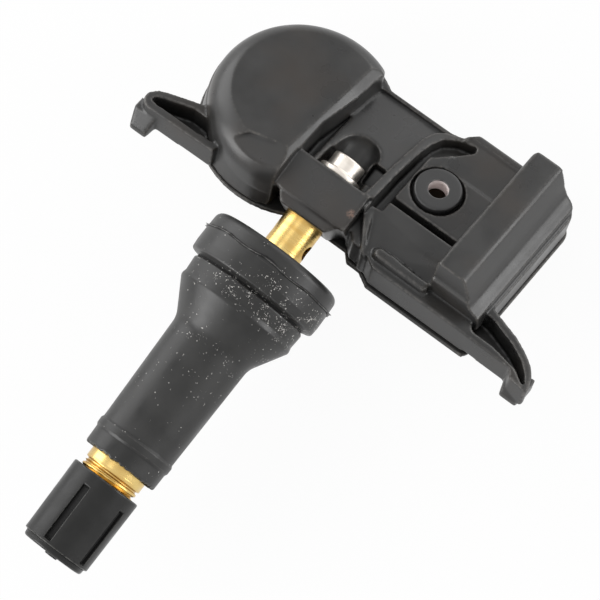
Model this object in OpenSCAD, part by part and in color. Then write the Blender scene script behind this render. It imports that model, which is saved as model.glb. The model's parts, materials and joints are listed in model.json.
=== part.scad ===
// Tyre pressure sensor with a snap-in rubber valve stem.
// Row frame: origin on the stem axis where the rim's wall meets the rubber flange,
// +Y along the stem into the wheel, +Z up, the valve cap towards -Y.
// The moulded housing is pitched about X against the stem, as it lies in a wheel's drop centre.
// All sizes are in millimetres.

/* [Rubber stem] */
// Diameter of the rubber flange inside the rim
flange_d = 18.6; // [17.8:0.1:19.4]
// Thickness of the rubber flange at its middle
flange_t = 5.6; // [5:0.1:6.2]
// Radius of the flange's rounded inner edge
flange_round = 2.2; // [1.6:0.1:2.6]
// Diameter of the band that fills the rim's hole
seat_d = 16.55; // [16:0.1:17.2]
// Length of the band that fills the rim's hole
seat_len = 3.4; // [2.8:0.1:4]
// Length of the cone below the band
cone_len = 4.6; // [3.8:0.1:5.4]
// Diameter of the rubber where the cone ends
neck_d = 11.1; // [10.8:0.1:11.8]
// Diameter of the rubber at its outer end
tip_d = 10.3; // [10:0.1:10.6]
// Length of the slim part of the rubber
sleeve_len = 18.8; // [16:0.1:22]
// Distance of the moulded ring from the rubber's outer end
ring_back = 3; // [2.5:0.1:5]
// Height of the moulded ring
ring_h = 0.15; // [0.1:0.05:0.25]
// Width of the moulded ring
ring_w = 0.9; // [0.6:0.1:1.2]

/* [Brass insert] */
// Diameter of the bare shank between the rubber and the housing
shank_d = 5.35; // [5.1:0.05:5.6]
// Diameter of the insert inside the rubber
root_d = 6.6; // [6.2:0.1:7.2]
// Diameter of the smooth collar below the thread
collar_d = 7.95; // [7.9:0.05:8.2]
// Length of the collar that shows
collar_len = 1.4; // [0.8:0.1:1.6]
// Outer diameter of the cap thread
thread_d = 7.75; // [7.6:0.05:7.85]
// Length of the cap thread
thread_len = 10.1; // [9.5:0.1:11]
// Pitch of the cap thread
thread_pitch = 0.794; // [0.75:0.002:0.85]
// Diameter of the bore for the valve core's head
head_bore_d = 5.24; // [5.1:0.02:5.4]
// Depth of the bore for the valve core's head
head_bore_len = 4.7; // [4.4:0.1:5]
// Length of the sealing cone under the head
seal_cone_len = 1.2; // [1:0.1:1.4]
// Diameter of the air bore around the core's barrel
air_bore_d = 4.2; // [4:0.1:4.4]
// Length of the air bore
air_bore_len = 10; // [9.6:0.1:11]
// Diameter of the air duct through the insert
duct_d = 2.8; // [2.4:0.1:3]
// Diameter of the cross hole that lets the air out
cross_d = 2.05; // [1.6:0.05:2.2]
// Distance of the cross hole from the flange's inner face
cross_up = 2.2; // [2:0.1:2.6]
// Diameter of the tapped hole for the clamp screw
tap_d = 3.4; // [3.2:0.1:3.6]

/* [Clamp] */
// Gap between the rubber flange and the housing's boss
boss_gap = 5.2; // [5:0.1:6]
// Length of the boss in front of the clamp wall
boss_len = 1.4; // [1:0.1:1.8]
// Half the width of the boss at its free end
boss_half_w = 3.4; // [3.3:0.1:3.8]
// Thickness of the clamp block from the boss to the screw
clamp_t = 5.5; // [5.2:0.1:6.2]
// Thickness of the wall that the screw clamps
clamp_wall = 3.5; // [3:0.1:4]
// Height of the clamp block above the stem's axis
clamp_top = 3.6; // [3.4:0.1:4]
// Radial clearance of the shank in its socket
shank_gap = 0.05; // [0.02:0.01:0.1]
// Diameter of the screw's head
screw_head_d = 4.5; // [4:0.1:4.8]
// Height of the screw's head
screw_head_h = 2.05; // [1.6:0.05:2.4]
// Diameter of the screw's flange
screw_flange_d = 5.9; // [5.6:0.1:6.2]
// Thickness of the screw's flange
screw_flange_t = 0.7; // [0.5:0.05:0.9]
// Length of the screw's shank
screw_len = 8.2; // [7:0.1:8.4]
// Width across the flats of the screw's drive
drive_af = 2.2; // [1.8:0.1:2.5]
// Depth of the screw's drive
drive_depth = 1.5; // [1:0.1:1.8]
// Radial clearance of the screw in the wall
screw_gap = 0.15; // [0.1:0.05:0.25]
// Room around the screw's flange
flange_room = 0.15; // [0.1:0.05:0.3]
// Diameter of the groove for the screwdriver
groove_d = 5.6; // [5.2:0.1:5.8]

/* [Housing] */
// Angle between the housing's top and the stem
pitch = 22; // [20:0.5:24]
// Distance from the rim seat to the point the housing pitches about
pivot_y = 14; // [13.8:0.05:14.2]
// Height of the dome's flat top
dome_top = 6; // [5.8:0.1:6.4]
// Distance of the dome's centre to the left of the stem
dome_x = 9.1; // [9:0.05:9.3]
// Distance of the dome's centre behind the pivot
dome_y = 8.1; // [7.9:0.05:8.2]
// Radius of the dome
dome_r = 12; // [11.9:0.05:12.05]
// Width of the dome's sloping flank around its flat top
dome_round = 2.6; // [2.2:0.1:3]
// Roundness of the flank: its radius as a multiple of its width
dome_bulge = 1.65; // [1.4:0.05:1.9]
// Distance of the tub's centre to the left of the stem
tub_x = 9.35; // [9.25:0.05:9.5]
// Distance of the tub's centre behind the pivot
tub_y = 8.35; // [8.25:0.05:8.45]
// Radius of the tub at the ledge
tub_r = 12.1; // [12:0.05:12.3]
// How far the tub's round wall flares out to its lower edge
tub_flare = 0.35; // [0.2:0.05:0.5]
// Height of the ledge around the tub and of the hook arms
ledge_z = 1.6; // [1.4:0.05:1.8]
// Depth of the tub's lower edge
tub_floor = 2.9; // [2.8:0.05:3]
// Slope of the facet cut into the dome's front
facet_tilt = 23; // [20:1:26]
// Height of the port's platform
deck_z = 3; // [2.9:0.05:3.2]
// Height of the tall block at the right end
block_top = 7.8; // [7.4:0.1:8.2]
// Distance of the tall block's left face from the stem
block_x = 17.7; // [17.6:0.05:18]
// Width of the tall block's top
block_w = 4.2; // [3.9:0.1:4.4]
// Distance of the housing's rear face behind the pivot
rear_y = 19.6; // [19.4:0.05:19.8]
// Distance of the housing's front face before the pivot
front_y = 4; // [3.9:0.05:4.2]
// Distance of the right side from the stem
right_x = 25.7; // [25.5:0.05:25.9]
// Thickness of the housing's walls
wall = 1; // [0.8:0.05:1.1]
// Height of the sloping pocket floor behind the screw
pocket_z = 2.6; // [2.5:0.05:2.8]
// Slope of the pocket floor
pocket_tilt = 8; // [7:0.5:9]
// Radius of the housing's rear right corner
corner_r = 1.9; // [1.5:0.1:2.4]
// Direction in which the dome's rear flank is eased
flank_turn = 52; // [45:1:65]
// Offset of the wide cone that eases the flank
flank_off = 5.1; // [4:0.1:6]
// Distance of the eased flank from the dome's flat top
flank_in = 0.6; // [0.3:0.05:0.8]
// Reach of the eased flank from the dome's flat top to the ledge
flank_w = 3.2; // [2.8:0.1:3.6]
// Width of the rib on the front ledge
rib_w = 1.3; // [1:0.1:1.5]
// Height of the rib on the front ledge
rib_h = 0.5; // [0.3:0.1:0.8]

/* [Hook arms] */
// Reach of the left arm to the left of the stem
left_reach = 25.5; // [24.5:0.1:26.5]
// Reach of the right arm to the right of the stem
right_reach = 35.2; // [34:0.1:36]
// Depth of the arms under the ledge
arm_drop = 2.2; // [2:0.1:2.6]
// Thickness of the arms' walls
arm_wall = 1; // [0.8:0.05:1.1]
// Thickness of the arms' floor
arm_floor = 0.8; // [0.6:0.1:1.2]
// Width of a foot at its end
foot_w = 2.4; // [2:0.1:3]
// Reach of a foot in front of its arm
foot_reach = 1.6; // [1.2:0.1:2]

/* [Pressure port] */
// Distance of the port to the right of the stem
port_x = 10.9; // [10.8:0.05:11.1]
// Distance of the port behind the pivot
port_y = 9.4; // [9.2:0.05:9.6]
// Diameter of the port's well
well_d = 6.9; // [6.7:0.05:7]
// Depth of the port's well
well_depth = 1.2; // [0.9:0.1:1.4]
// Diameter of the seal's disc
seal_d = 6.15; // [6:0.05:6.4]
// Height of the seal above the platform
seal_proud = 0.45; // [0.3:0.05:0.6]
// Diameter of the hole in the seal
port_d = 2.62; // [2.4:0.02:2.8]
// Thickness of the pale sleeve in the port
sleeve_t = 0.4; // [0.3:0.05:0.5]
// Depth of the dark vent disc under the seal's top
vent_depth = 2; // [1.8:0.1:2.3]

/* [Valve core] */
// Radial clearance of the core's head in its bore
core_gap = 0.04; // [0.02:0.01:0.08]
// Length of the core's head
core_head_len = 4; // [3.6:0.1:4.3]
// Diameter of the core's barrel
barrel_d = 3.1; // [2.9:0.1:3.3]
// Length of the core's barrel
barrel_len = 8; // [7.6:0.1:8.4]
// Diameter of the core's pin
pin_d = 0.9; // [0.8:0.05:1]
// Radial clearance of the pin in its guides
pin_gap = 0.05; // [0.03:0.01:0.08]
// Travel of the pin
pin_travel = 1.2; // [0.8:0.1:1.4]
// Depth of the pin's tip inside the thread's end
tip_inset = 0.3; // [0.2:0.05:0.5]
// Diameter of the seal that closes the barrel
disc_d = 2.9; // [2.6:0.1:3.1]
// Thickness of the seal that closes the barrel
disc_t = 1; // [0.8:0.1:1.2]
// Diameter of the spring's wire
wire_d = 0.26; // [0.2:0.02:0.3]

/* [Valve cap] */
// Outer diameter of the cap at its open end
cap_d = 9.55; // [9.4:0.05:9.7]
// Outer diameter of the cap at its closed end
cap_tip_d = 9.3; // [9.1:0.05:9.4]
// Length of the cap's body
cap_len = 10.2; // [10:0.1:10.6]
// Thickness of the cap's closed end above its smaller end
cap_end_t = 0.7; // [0.5:0.05:0.9]
// Length of the smaller end of the cap
cap_end_len = 0.85; // [0.6:0.05:1.1]
// Length of the stub on the cap's end
stub_len = 0.3; // [0.2:0.05:0.5]
// Radial clearance of the cap on the thread
cap_gap = 0.07; // [0.04:0.01:0.1]
// Thickness of the cap's seal
liner_t = 0.6; // [0.4:0.05:0.8]
// Number of grooves around the cap
cap_grooves = 5; // [4:1:8]
// Width of a groove
cap_groove_w = 0.75; // [0.5:0.05:0.9]
// Depth of a groove
cap_groove_t = 0.35; // [0.2:0.05:0.4]
// Smooth length before the grooves start
cap_smooth = 1.75; // [1.4:0.05:2.2]

/* [Electronics] */
// Diameter of the coin cell
cell_d = 16; // [15.8:0.05:16]
// Thickness of the coin cell
cell_t = 2.5; // [2.2:0.05:2.6]
// Distance of the cell's centre to the left of the stem
cell_x = 11.8; // [11.75:0.05:11.9]
// Thickness of the circuit board
board_t = 0.8; // [0.6:0.05:0.9]
// Clearance of the board and its parts inside the housing
board_gap = 0.15; // [0.1:0.05:0.25]
// Thickness of a battery tab
tab_t = 0.15; // [0.1:0.05:0.2]
// Thickness of the base cover
cover_t = 0.6; // [0.5:0.05:0.7]
// Overhang of the base cover's rim
cover_lip = 0.35; // [0.2:0.05:0.4]
// Depth of the pan in the base cover
pan_depth = 1.4; // [1.2:0.1:1.6]
// Distance of the pan's wall inside the rim
pan_inset = 1.1; // [0.9:0.1:1.4]
// Clearance of the base cover around the stem's shank
cover_gap = 0.3; // [0.2:0.05:0.5]

/* [Hidden] */
$fn = 64;
eps = 0.01;
big = 60;

// Places along the stem axis
band_end = -seat_len;
cone_end = band_end - cone_len;
rubber_end = cone_end - sleeve_len;
ring_y = rubber_end + ring_back;
collar_end = rubber_end - collar_len;
insert_end = collar_end - thread_len;
boss_y = flange_t + boss_gap;
block_front = boss_y + boss_len;
screw_seat = boss_y + boss_len + clamp_t;
shank_end = screw_seat - clamp_wall;
cross_y = flange_t + cross_up;
tap_end = cross_y + 1.3;
window_x = 4.25;
groove_end = screw_seat + 4.8;
head_bore_end = insert_end + head_bore_len;
seal_cone_end = head_bore_end + seal_cone_len;
air_bore_end = seal_cone_end + air_bore_len;
core_top = insert_end + tip_inset;
core_head_end = core_top + core_head_len;
barrel_end = core_head_end + barrel_len;
guide_len = 0.8;
collar_pin_y = core_head_end + 1;
collar_pin_t = 0.4;
spring_end = barrel_end - guide_len;
liner_end = insert_end - liner_t;
stub_r = 0.9;
cap_bottom = liner_end - cap_end_t;
cap_mouth = cap_bottom + cap_len;

// Places in the housing's own frame
flat_r = dome_r - dome_round;
board_z = -3.3;
mid_rear = 18.3;
panel_rear = 17.75;
board_top = board_z + board_t;
cell_z = board_top + 2 * tab_t;
cell_top = cell_z + cell_t;
cell_y = 8.1;
seal_top = deck_z + seal_proud;
well_z = deck_z - well_depth;
vent_z = seal_top - vent_depth;
neck_r = port_d / 2 + sleeve_t;
seal_neck_r = neck_r + 0.5;
port_boss_r = seal_neck_r + 0.7;
chip_h = 1.6;
chip_top = board_top + chip_h;
arm_base = -arm_drop;
// the facet's plane passes through this place on the dome's front flank
facet_y = dome_y - 10.8;
facet_z = dome_top - 1.3;
// the hollow stays to the left of this in front, and the groove's end wall lies before groove_back
block_clear = 6.4;
block_back = 2;
groove_back = 11.7;
// the pocket's floor reaches this far left, into the dome
deck_left = -3;
// floor of the slot between the dome and the pocket
slot_z = 1.1;
// the wide hollow stops this far below the narrow one, inside the dome's bulging flank
shoulder_drop = 1.8;
// step around the coin cell's top
cell_step_w = 1;
cell_step_h = 0.3;
// strip of the loop antenna
antenna_r = dome_r - wall - 0.7;
antenna_t = 0.4;
antenna_h = 1.4;
// ferrite rod on its two feet, with the winding between them
rod_r = 0.8;
rod_front = 3;
rod_rear = 15;
rod_inset = 0.5;
rod_foot_w = 2.3;
rod_foot_t = 1.6;
rod_foot_h = 3.3;
winding_gap = 0.1;
coil_r = 1.3;
coil_x = block_x + wall + coil_r + board_gap;
coil_z = board_top + 2.1;

// Turns a shape made along Z so that it lies along the stem, at distance y
module along_stem(y = 0) {
    translate([0, y, 0]) rotate([-90, 0, 0]) children();
}

// Cylinder along the stem from one distance to another
module rod(r, from, to) {
    along_stem(from) cylinder(r = r, h = to - from);
}

// Places a shape given in the pitched housing's frame
module in_housing() {
    translate([0, pivot_y, 0]) rotate([-pitch, 0, 0]) children();
}

// Places a shape given in the row frame among shapes in the housing's frame
module from_row() {
    rotate([pitch, 0, 0]) translate([0, -pivot_y, 0]) children();
}

// Slab between two heights with a plan outline
module slab(points, from, to) {
    translate([0, 0, from]) linear_extrude(to - from) polygon(points);
}

// Points of an arc about a centre
function arc(c, r, from, to, steps = 8) =
    [for (i = [0 : steps]) let (a = from + (to - from) * i / steps) c + r * [cos(a), sin(a)]];

// Outline of the tub's right part, seen from above
function right_outline(grow = 0) = let (r = max(corner_r + grow, 0.3)) concat(
    [[-tub_x, -1.65 - grow], [5.9, -1.65 - grow], [6.9, -2.75 - grow]],
    [[8.9, -2.85 - grow], [10.8, -front_y - grow]],
    [[right_x - 0.5 + grow, -front_y - grow], [right_x + grow, -3.2 - grow]],
    arc([right_x + grow - r, rear_y + grow - r], r, 0, 90),
    [[10.3, rear_y + grow], [8.6, mid_rear + 0.4 + grow], [6.8, mid_rear + grow], [-tub_x, mid_rear + grow]]);

// Outline of the upper right part: the pocket's floor, platform, ridge and tall block
function deck_outline() = [[deck_left, 1.2], [4.2, 1.2], [5.8, 2.4], [14.1, 0.95], [block_x, 1.35],
    [block_x + 1, 1.35],
    [block_x + 1, rear_y], [10.3, rear_y], [8.9, panel_rear + 0.45], [7.2, panel_rear - 0.35],
    [5.5, panel_rear - 0.75], [deck_left, panel_rear - 0.75]];

// The housing's solids before its hollows are cut

// Dome whose bulging flank meets the flat top at a clear edge; a wide cone eases its rear right flank
module dome_body() {
    flank_x = -dome_x - flank_off * cos(flank_turn);
    flank_y = dome_y - flank_off * sin(flank_turn);
    flank_r = flat_r + flank_in + flank_off;
    bulge_r = dome_bulge * dome_round;
    bulge_end = acos(1 - 1 / dome_bulge);
    intersection() {
        translate([-dome_x, dome_y, 0]) rotate_extrude($fn = 128) polygon(concat(
            [[0, 0], [dome_r, 0]],
            arc([dome_r - bulge_r, dome_top - bulge_r * sin(bulge_end)], bulge_r, 0, bulge_end, 10),
            [[0, dome_top]]));
        translate([flank_x, flank_y, 0])
            cylinder(r1 = flank_r + flank_w * dome_top / (dome_top - ledge_z), r2 = flank_r, h = dome_top,
                $fn = 128);
    }
}

module tub_body() {
    translate([-tub_x, tub_y, -tub_floor])
        cylinder(r1 = tub_r + tub_flare, r2 = tub_r, h = tub_floor + ledge_z, $fn = 128);
    slab(right_outline(), -tub_floor, ledge_z);
}

module tall_block() {
    // section across the block, extruded from front to rear
    side = [[0, 0], [0, block_top - 0.4], [0.4, block_top], [block_w - 0.5, block_top],
        [block_w, block_top - 0.35], [block_w + 0.7, block_top - 2], [block_w + 1.2, 4.5],
        [block_w + 1.7, 3.5], [block_w + 2.4, 2.9], [block_w + 3.2, 2.4], [block_w + 3.6, 0]];
    intersection() {
        translate([block_x, rear_y, 0]) rotate([90, 0, 0]) linear_extrude(rear_y + 1.9) polygon(side);
        union() {
            slab(concat([[block_x - 1, rear_y], [block_x - 1, -2.6], [right_x, -2.6]],
                arc([right_x - corner_r, rear_y - corner_r], corner_r, 0, 90)), 0, 4.4);
            slab(concat([[block_x, -1.6], [block_x + block_w + 2, -1.6]],
                arc([block_x + block_w + 0.6, rear_y - 1.3], 1.3, 0, 90, 6),
                arc([block_x + 0.8, rear_y - 0.8], 0.8, 90, 180, 6)), 0, block_top + 1);
        }
    }
}

module deck_body() {
    slab(deck_outline(), 0, 5.2);
}

// Ramp in front of the platform
module front_ramp() {
    hull() {
        slab([[6.1, 2.3], [14.1, 0.95], [block_x + 1, 1.35], [block_x + 1, 4], [6.1, 4]],
            deck_z - 0.1, deck_z);
        slab([[8.7, -3.2], [10.3, -1.6], [11.3, -1.1], [block_x + 1, -1.1], [block_x + 1, 4], [7, 4]],
            ledge_z - 0.1, ledge_z);
    }
}

// Thin crest that runs from the clamp block's corner down to the ledge
module front_crest() {
    hull() {
        translate([5.6, 0.9, deck_z]) cube([0.5, 1.4, 0.9]);
        translate([8.5, -3.3, ledge_z - 0.3]) cube([0.4, 0.4, 0.4]);
        translate([5.8, 0.9, ledge_z - 0.3]) cube([0.6, 1.4, 0.4]);
    }
}

// Rib on the ledge and the tab beside the clamp block
module front_details() {
    rib_r = rib_w / 2;
    rib_y = 0.6 - front_y + rib_r + 0.35;
    slab(concat(arc([10.55, rib_y], rib_r, 90, 270), arc([17.3, rib_y], rib_r, -90, 90)),
        ledge_z - 0.2, ledge_z + rib_h);
    slab([[8.4, -3.3], [9.3, -3.3], [9.3, 0], [8.4, 0]], -tub_floor, ledge_z - 0.5);
}

// Left and right hook arm with their open channels
module arm_left() {
    outer = concat([[-14, -front_y + 0.1], [-left_reach + 1.6, -front_y - 0.2]],
        arc([-left_reach + 1.5, -2.7], 1.5, 265, 165, 6),
        [[-24.6, -1.3], [-23.4, -0.75], [-19.6, 0.6], [-14, 2]]);
    slab(outer, arm_base, ledge_z);
}

module arm_left_channel() {
    slab(concat([[-14.6, -front_y + 0.1 + arm_wall], [-23.6, -front_y - 0.1 + arm_wall]],
        [[-24.5, -2.9], [-24.3, -2.3], [-23.2, -1.75], [-19.4, -0.45], [-17.2, -0.6]]),
        arm_base + arm_floor, ledge_z + 1);
}

module arm_right() {
    outer = concat([[right_x - 3, 2.4], [right_x, 1.3], [30.1, -0.1], [32.2, -1.2]],
        [[33.6, -2.2], [34.5, -3.3], [right_reach, -5.1], [right_reach - 0.2, -5.6]],
        [[32.4, -5.2], [31.6, -front_y - 0.1], [right_x - 3, -front_y]]);
    slab(outer, arm_base, ledge_z);
}

module arm_right_channel() {
    slab([[24.7, 0.1], [26.4, 0.05], [30.2, -1.25], [32.2, -2.3], [33.6, -3.6], [34.4, -4.8],
        [34.2, -5], [33.4, -4.5], [32.4, -3.8], [28.4, -front_y + arm_wall], [25.4, -front_y + arm_wall],
        [24.6, -2.2]], arm_base + arm_floor, ledge_z + 1);
}

// Foot at the end of an arm, leaning forward and down
module foot(x) {
    hull() {
        translate([x - foot_w / 2 - 0.45, -front_y - 0.3, arm_base]) cube([foot_w + 0.9, 1.6, 2.4]);
        translate([x - foot_w / 2, -front_y - foot_reach, arm_base - 1]) cube([foot_w, 1.2, 1]);
    }
}

// Block around the stem's end and the clamp screw, square to the stem
module clamp_block() {
    translate([-5.8, block_front, -5.6]) cube([11.2, clamp_t, 5.6 + clamp_top]);
    translate([0, 0, -3.6]) linear_extrude(3.6 + 3.3)
        polygon([[-4.5, block_front + 1], [-4.5, block_front], [-boss_half_w, boss_y],
            [boss_half_w, boss_y], [4.5, block_front], [4.5, block_front + 1]]);
}

// Half space above the pocket's sloping floor
module above_floor(drop = 0) {
    translate([-big / 2, 6.5, pocket_z - drop]) rotate([-pocket_tilt, 0, 0])
        translate([0, -big / 2, 0]) cube([big, big, 20]);
}

// Half space above the facet on the dome's front, and the facet's outline
module above_facet(drop = 0) {
    translate([-dome_x, facet_y, facet_z - drop]) rotate([facet_tilt, 0, 0])
        translate([-big / 2, -big / 2, 0]) cube([big, big, 20]);
}

facet_outline = [[-4.5, 0.4], [-6.8, 0.2], [-11, -1], [-12.6, -2.5], [-14.2, -4], [-14.2, -8], [-4.5, -8]];

// Left edge of the pocket along the dome, and the ridge's left and right edges
dome_edge = [[-5.15, -6], [-5.15, 6.4], [-4.5, 10.4], [-4.15, 12.6], [-4.05, 14.1], [-4, 15.4], [-3.85, 16.6],
    [-3.6, panel_rear]];
ridge_left = [[4.6, -6], [4.6, 7.9], [4.85, 12.3], [5, 14.5], [5.6, 16.2], [6.6, 17.15], [7.2, panel_rear]];
ridge_w = 1.05;
ridge_right = [for (p = [[4.6, 2.3], [4.6, 7.9], [4.85, 12.3], [5.2, 14.5], [5.7, 15.7]])
    p + [ridge_w + 0.2, 0]];

// The pocket between the dome and the ridge, behind the clamp block
module pocket() {
    intersection() {
        above_floor();
        slab(concat(dome_edge, [for (i = [len(ridge_left) - 1 : -1 : 0]) ridge_left[i]]), -1, 12);
    }
}

module housing_cuts() {
    pocket();
    // rim behind the pocket
    translate([-4.2, panel_rear, ledge_z]) cube([10, 12, 10]);
    // chamfer along the dome's side of the pocket
    translate([-5.15, 0, 5.15]) rotate([0, 0, -3.5]) rotate([0, 38, 0])
        translate([-4, -3, 0]) cube([8, 22, 4]);
    // facet on the dome's front, with a low step on its left
    intersection() {
        above_facet();
        slab(facet_outline, ledge_z, dome_top + 2);
    }
    // wedge slot between the dome and the pocket's floor
    slab([[-5.15, 2.4], [-3.85, 2.4], [-3.95, 8], [-4.05, 11], [-4.02, 13.4], [-4.15, 12.6],
        [-4.5, 10.4], [-5.15, 6.4]], slot_z, 6);
    // ridge's crest runs down to the rear
    translate([3, 1.8, 4.7]) rotate([-7.4, 0, 0]) translate([0, -6, 0]) cube([6, 30, 8]);
    // space above the platform, the slot beside the ridge and the leaf behind the port
    slab(concat(ridge_right, [[6.6, 16.4], [7.6, 17.1], [8.6, 30], [block_x, 30], [block_x, -6], [6, -6]]),
        deck_z, 12);
    slab(concat(ridge_right, [[7.1, 16.1], [8.6, 17.3], [11, 18], [11.2, 17.1], [8, 13.4], [7.2, 12.8],
        [7.2, 2.5]]), 0.9, 6);
    translate([6.4, 4.2, 0.9]) cube([block_x - 6.4 - 0.1, 0.9, 6]);
    // plane behind the port's platform lies a little lower
    translate([9.4, 12.7, deck_z - 0.2]) cube([block_x - 9.4, 5.9, 1]);
    // port's well and neck
    translate([port_x, port_y, well_z]) cylinder(r = well_d / 2, h = 6);
    translate([port_x, port_y, -2]) cylinder(r = seal_neck_r, h = 8);
    // shadow line above the base cover
    translate([0, 0, -tub_floor - 1]) difference() {
        slab(right_outline(2), 0, 1.35);
        translate([0, 0, -1]) slab(right_outline(-0.3), 0, 4);
        translate([-tub_x, tub_y, -1]) cylinder(r = tub_r, h = 4, $fn = 128);
    }
    arm_left_channel();
    arm_right_channel();
}

// Sealed hollows for the cell, the board and the parts on it
module housing_hollows() {
    low = -tub_floor - eps;
    floor_z = -0.4;
    difference() {
        translate([-dome_x, dome_y, low])
            cylinder(r = dome_r - wall, h = dome_top - wall - low - shoulder_drop);
        above_floor(wall);
        // keeps a wall around the driver's groove and behind the clamp block's front
        translate([-3.7, -10, low - 1]) cube([20, groove_back + 10, 20]);
        translate([-block_clear, -20, low - 1]) cube([20, 20 + block_back, 20]);
        // and above the cell, under the slot along the pocket
        translate([-block_clear, -10, cell_top + board_gap]) cube([20, 40, 20]);
    }
    difference() {
        translate([-dome_x, dome_y, low]) cylinder(r = flat_r - 0.3, h = dome_top - wall - low);
        translate([-block_clear, -20, low - 1]) cube([30, 60, 20]);
        above_facet(wall);
    }
    // under the pocket's floor and across to the right part
    translate([-6.2, 9.4, low]) cube([14, 7.2, floor_z - low]);
    slab([[6.2, -1.6], [9.4, -1.8], [11.2, -2.9], [23.6, -2.9], [24.6, -1.8], [24.6, 15.8], [22.8, 18.2],
        [11.3, 18.2], [9.4, 16.9], [6.2, 16.4]], low, floor_z);
    difference() {
        translate([8.3, 6.1, floor_z - eps]) cube([block_x - 8.3 - wall, 10, well_z - wall - floor_z]);
        slab([[6, 11], [8.4, 14], [11.5, 17.6], [6, 20]], -2, 3);
        translate([port_x, port_y, -0.2]) cylinder(r = port_boss_r, h = 6);
    }
    translate([block_x + wall, -0.6, floor_z - eps])
        cube([block_w - wall - 0.2, rear_y - 1, block_top - wall - floor_z]);
}

module housing_shell() {
    color([0.26, 0.26, 0.265]) difference() {
        union() {
            difference() {
                in_housing() {
                    dome_body();
                    tub_body();
                    deck_body();
                    front_ramp();
                    front_crest();
                    front_details();
                    arm_left();
                    arm_right();
                    foot(-24.3);
                    foot(33.3);
                }
                // space above the clamp block, square to the stem
                translate([-5.3, -20, clamp_top]) cube([11.4, 20 + screw_seat - 0.3, 20]);
                // front of the block around the boss
                translate([-5.3, -20, -20]) cube([10.7, 20 + block_front, 40]);
                in_housing() housing_cuts();
            }
            intersection() {
                clamp_block();
                in_housing() translate([-20, -20, -tub_floor]) cube([40, 40, 20]);
            }
            in_housing() tall_block();
        }
        // shank's socket, screw hole and the room around the screw
        rod(shank_d / 2 + shank_gap, boss_y - 1, shank_end);
        rod(tap_d / 2 + screw_gap, shank_end - 1, screw_seat + 1);
        rod(screw_flange_d / 2 + flange_room, screw_seat, screw_seat + 3);
        translate([-screw_flange_d / 2 - flange_room, screw_seat, -0.5])
            cube([window_x + screw_flange_d / 2, 3, 9]);
        translate([window_x - 2, screw_seat + 1.6, -3.2]) cube([2, 2.8, 9]);
        rod(groove_d / 2, screw_seat + 1, groove_end);
        translate([0, groove_end, 0]) sphere(r = groove_d / 2);
        in_housing() housing_hollows();
    }
}

// Outline of the base cover as a solid, grown or shrunk
module cover_body(grow, from, to) {
    translate([-tub_x, tub_y, from]) cylinder(r = tub_r + tub_flare + grow, h = to - from, $fn = 128);
    slab(right_outline(grow), from, to);
}

module base_cover() {
    rim_z = -tub_floor - cover_t;
    color([0.22, 0.22, 0.225]) in_housing() difference() {
        union() {
            cover_body(cover_lip - tub_flare / 4, rim_z, -tub_floor);
            cover_body(-pan_inset, -tub_floor - pan_depth, rim_z);
        }
        cover_body(-pan_inset - wall, -tub_floor - pan_depth + cover_t, -tub_floor + 1);
        // shallow ring pressed into the underside
        translate([-tub_x, tub_y, -tub_floor - pan_depth - 1]) difference() {
            cylinder(r = 9, h = 1.2);
            translate([0, 0, -1]) cylinder(r = 8.2, h = 3);
        }
        // notch that clears the stem's shank
        from_row() rod(shank_d / 2 + cover_gap, 0, shank_end + cover_gap);
    }
}

module circuit_board() {
    color([0.05, 0.3, 0.14]) in_housing() difference() {
        union() {
            translate([-tub_x, tub_y, board_z])
                cylinder(r = tub_r + tub_flare - pan_inset - wall - board_gap, h = board_t);
            slab([[-6, 9.9], [7.6, 9.9], [7.6, -0.3], [11.8, -1.6], [23, -1.6], [23.4, -1.2], [23.4, 15.2],
                [22, 17.2], [11.6, 17.2], [9.6, 16], [-6, 16]], board_z, board_top);
        }
        translate([-4.3, -10, board_z - 1]) cube([11.6, 19.9, 3]);
        translate([-block_clear - board_gap, -10, board_z - 1]) cube([8, 10 + block_back + board_gap, 3]);
    }
}

module coin_cell() {
    color([0.75, 0.75, 0.74]) in_housing() translate([-cell_x, cell_y, cell_z]) {
        cylinder(r = cell_d / 2, h = cell_t - cell_step_h);
        cylinder(r = cell_d / 2 - cell_step_w, h = cell_t);
    }
}

// Strap that holds the cell, with a leg down to the board
module cell_tab(z, leg_from, turn) {
    in_housing() translate([-cell_x, cell_y, 0]) rotate([0, 0, turn]) {
        translate([-2, -5, z]) cube([4, 13.6, tab_t]);
        translate([-2, cell_d / 2 + 0.2, leg_from]) cube([4, 0.4, z - leg_from + tab_t]);
    }
}

module cell_tab_top() {
    color([0.8, 0.78, 0.7]) cell_tab(cell_top, board_top, 180);
}

module cell_tab_bottom() {
    color([0.8, 0.78, 0.7]) in_housing() translate([-cell_x, cell_y, board_top]) {
        translate([-2, -7.5, 0]) cube([4, 12, 2 * tab_t]);
    }
}

module pressure_chip() {
    color([0.12, 0.12, 0.12]) in_housing() translate([port_x, port_y, board_top]) difference() {
        translate([-2.6, -2.6, 0]) cube([5.2, 5.2, chip_h]);
        translate([0, 0, chip_h - 0.4]) cylinder(r = 0.9, h = 2);
    }
}

module controller_chip() {
    color([0.1, 0.1, 0.1]) in_housing() translate([13.6, 1.1, board_top]) cube([4, 4, 0.9]);
}

module timing_crystal() {
    color([0.8, 0.8, 0.8]) in_housing() translate([15.2, 10.8, board_top]) cube([1.5, 4, 0.8]);
}

module pickup_core() {
    color([0.2, 0.19, 0.19]) in_housing() {
        for (y = [rod_front, rod_rear - rod_foot_t]) translate([coil_x - rod_foot_w / 2, y, board_top])
            cube([rod_foot_w, rod_foot_t, rod_foot_h]);
        translate([coil_x, rod_front + rod_inset, coil_z]) rotate([-90, 0, 0])
            cylinder(r = rod_r, h = rod_rear - rod_front - 2 * rod_inset);
    }
}

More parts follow.
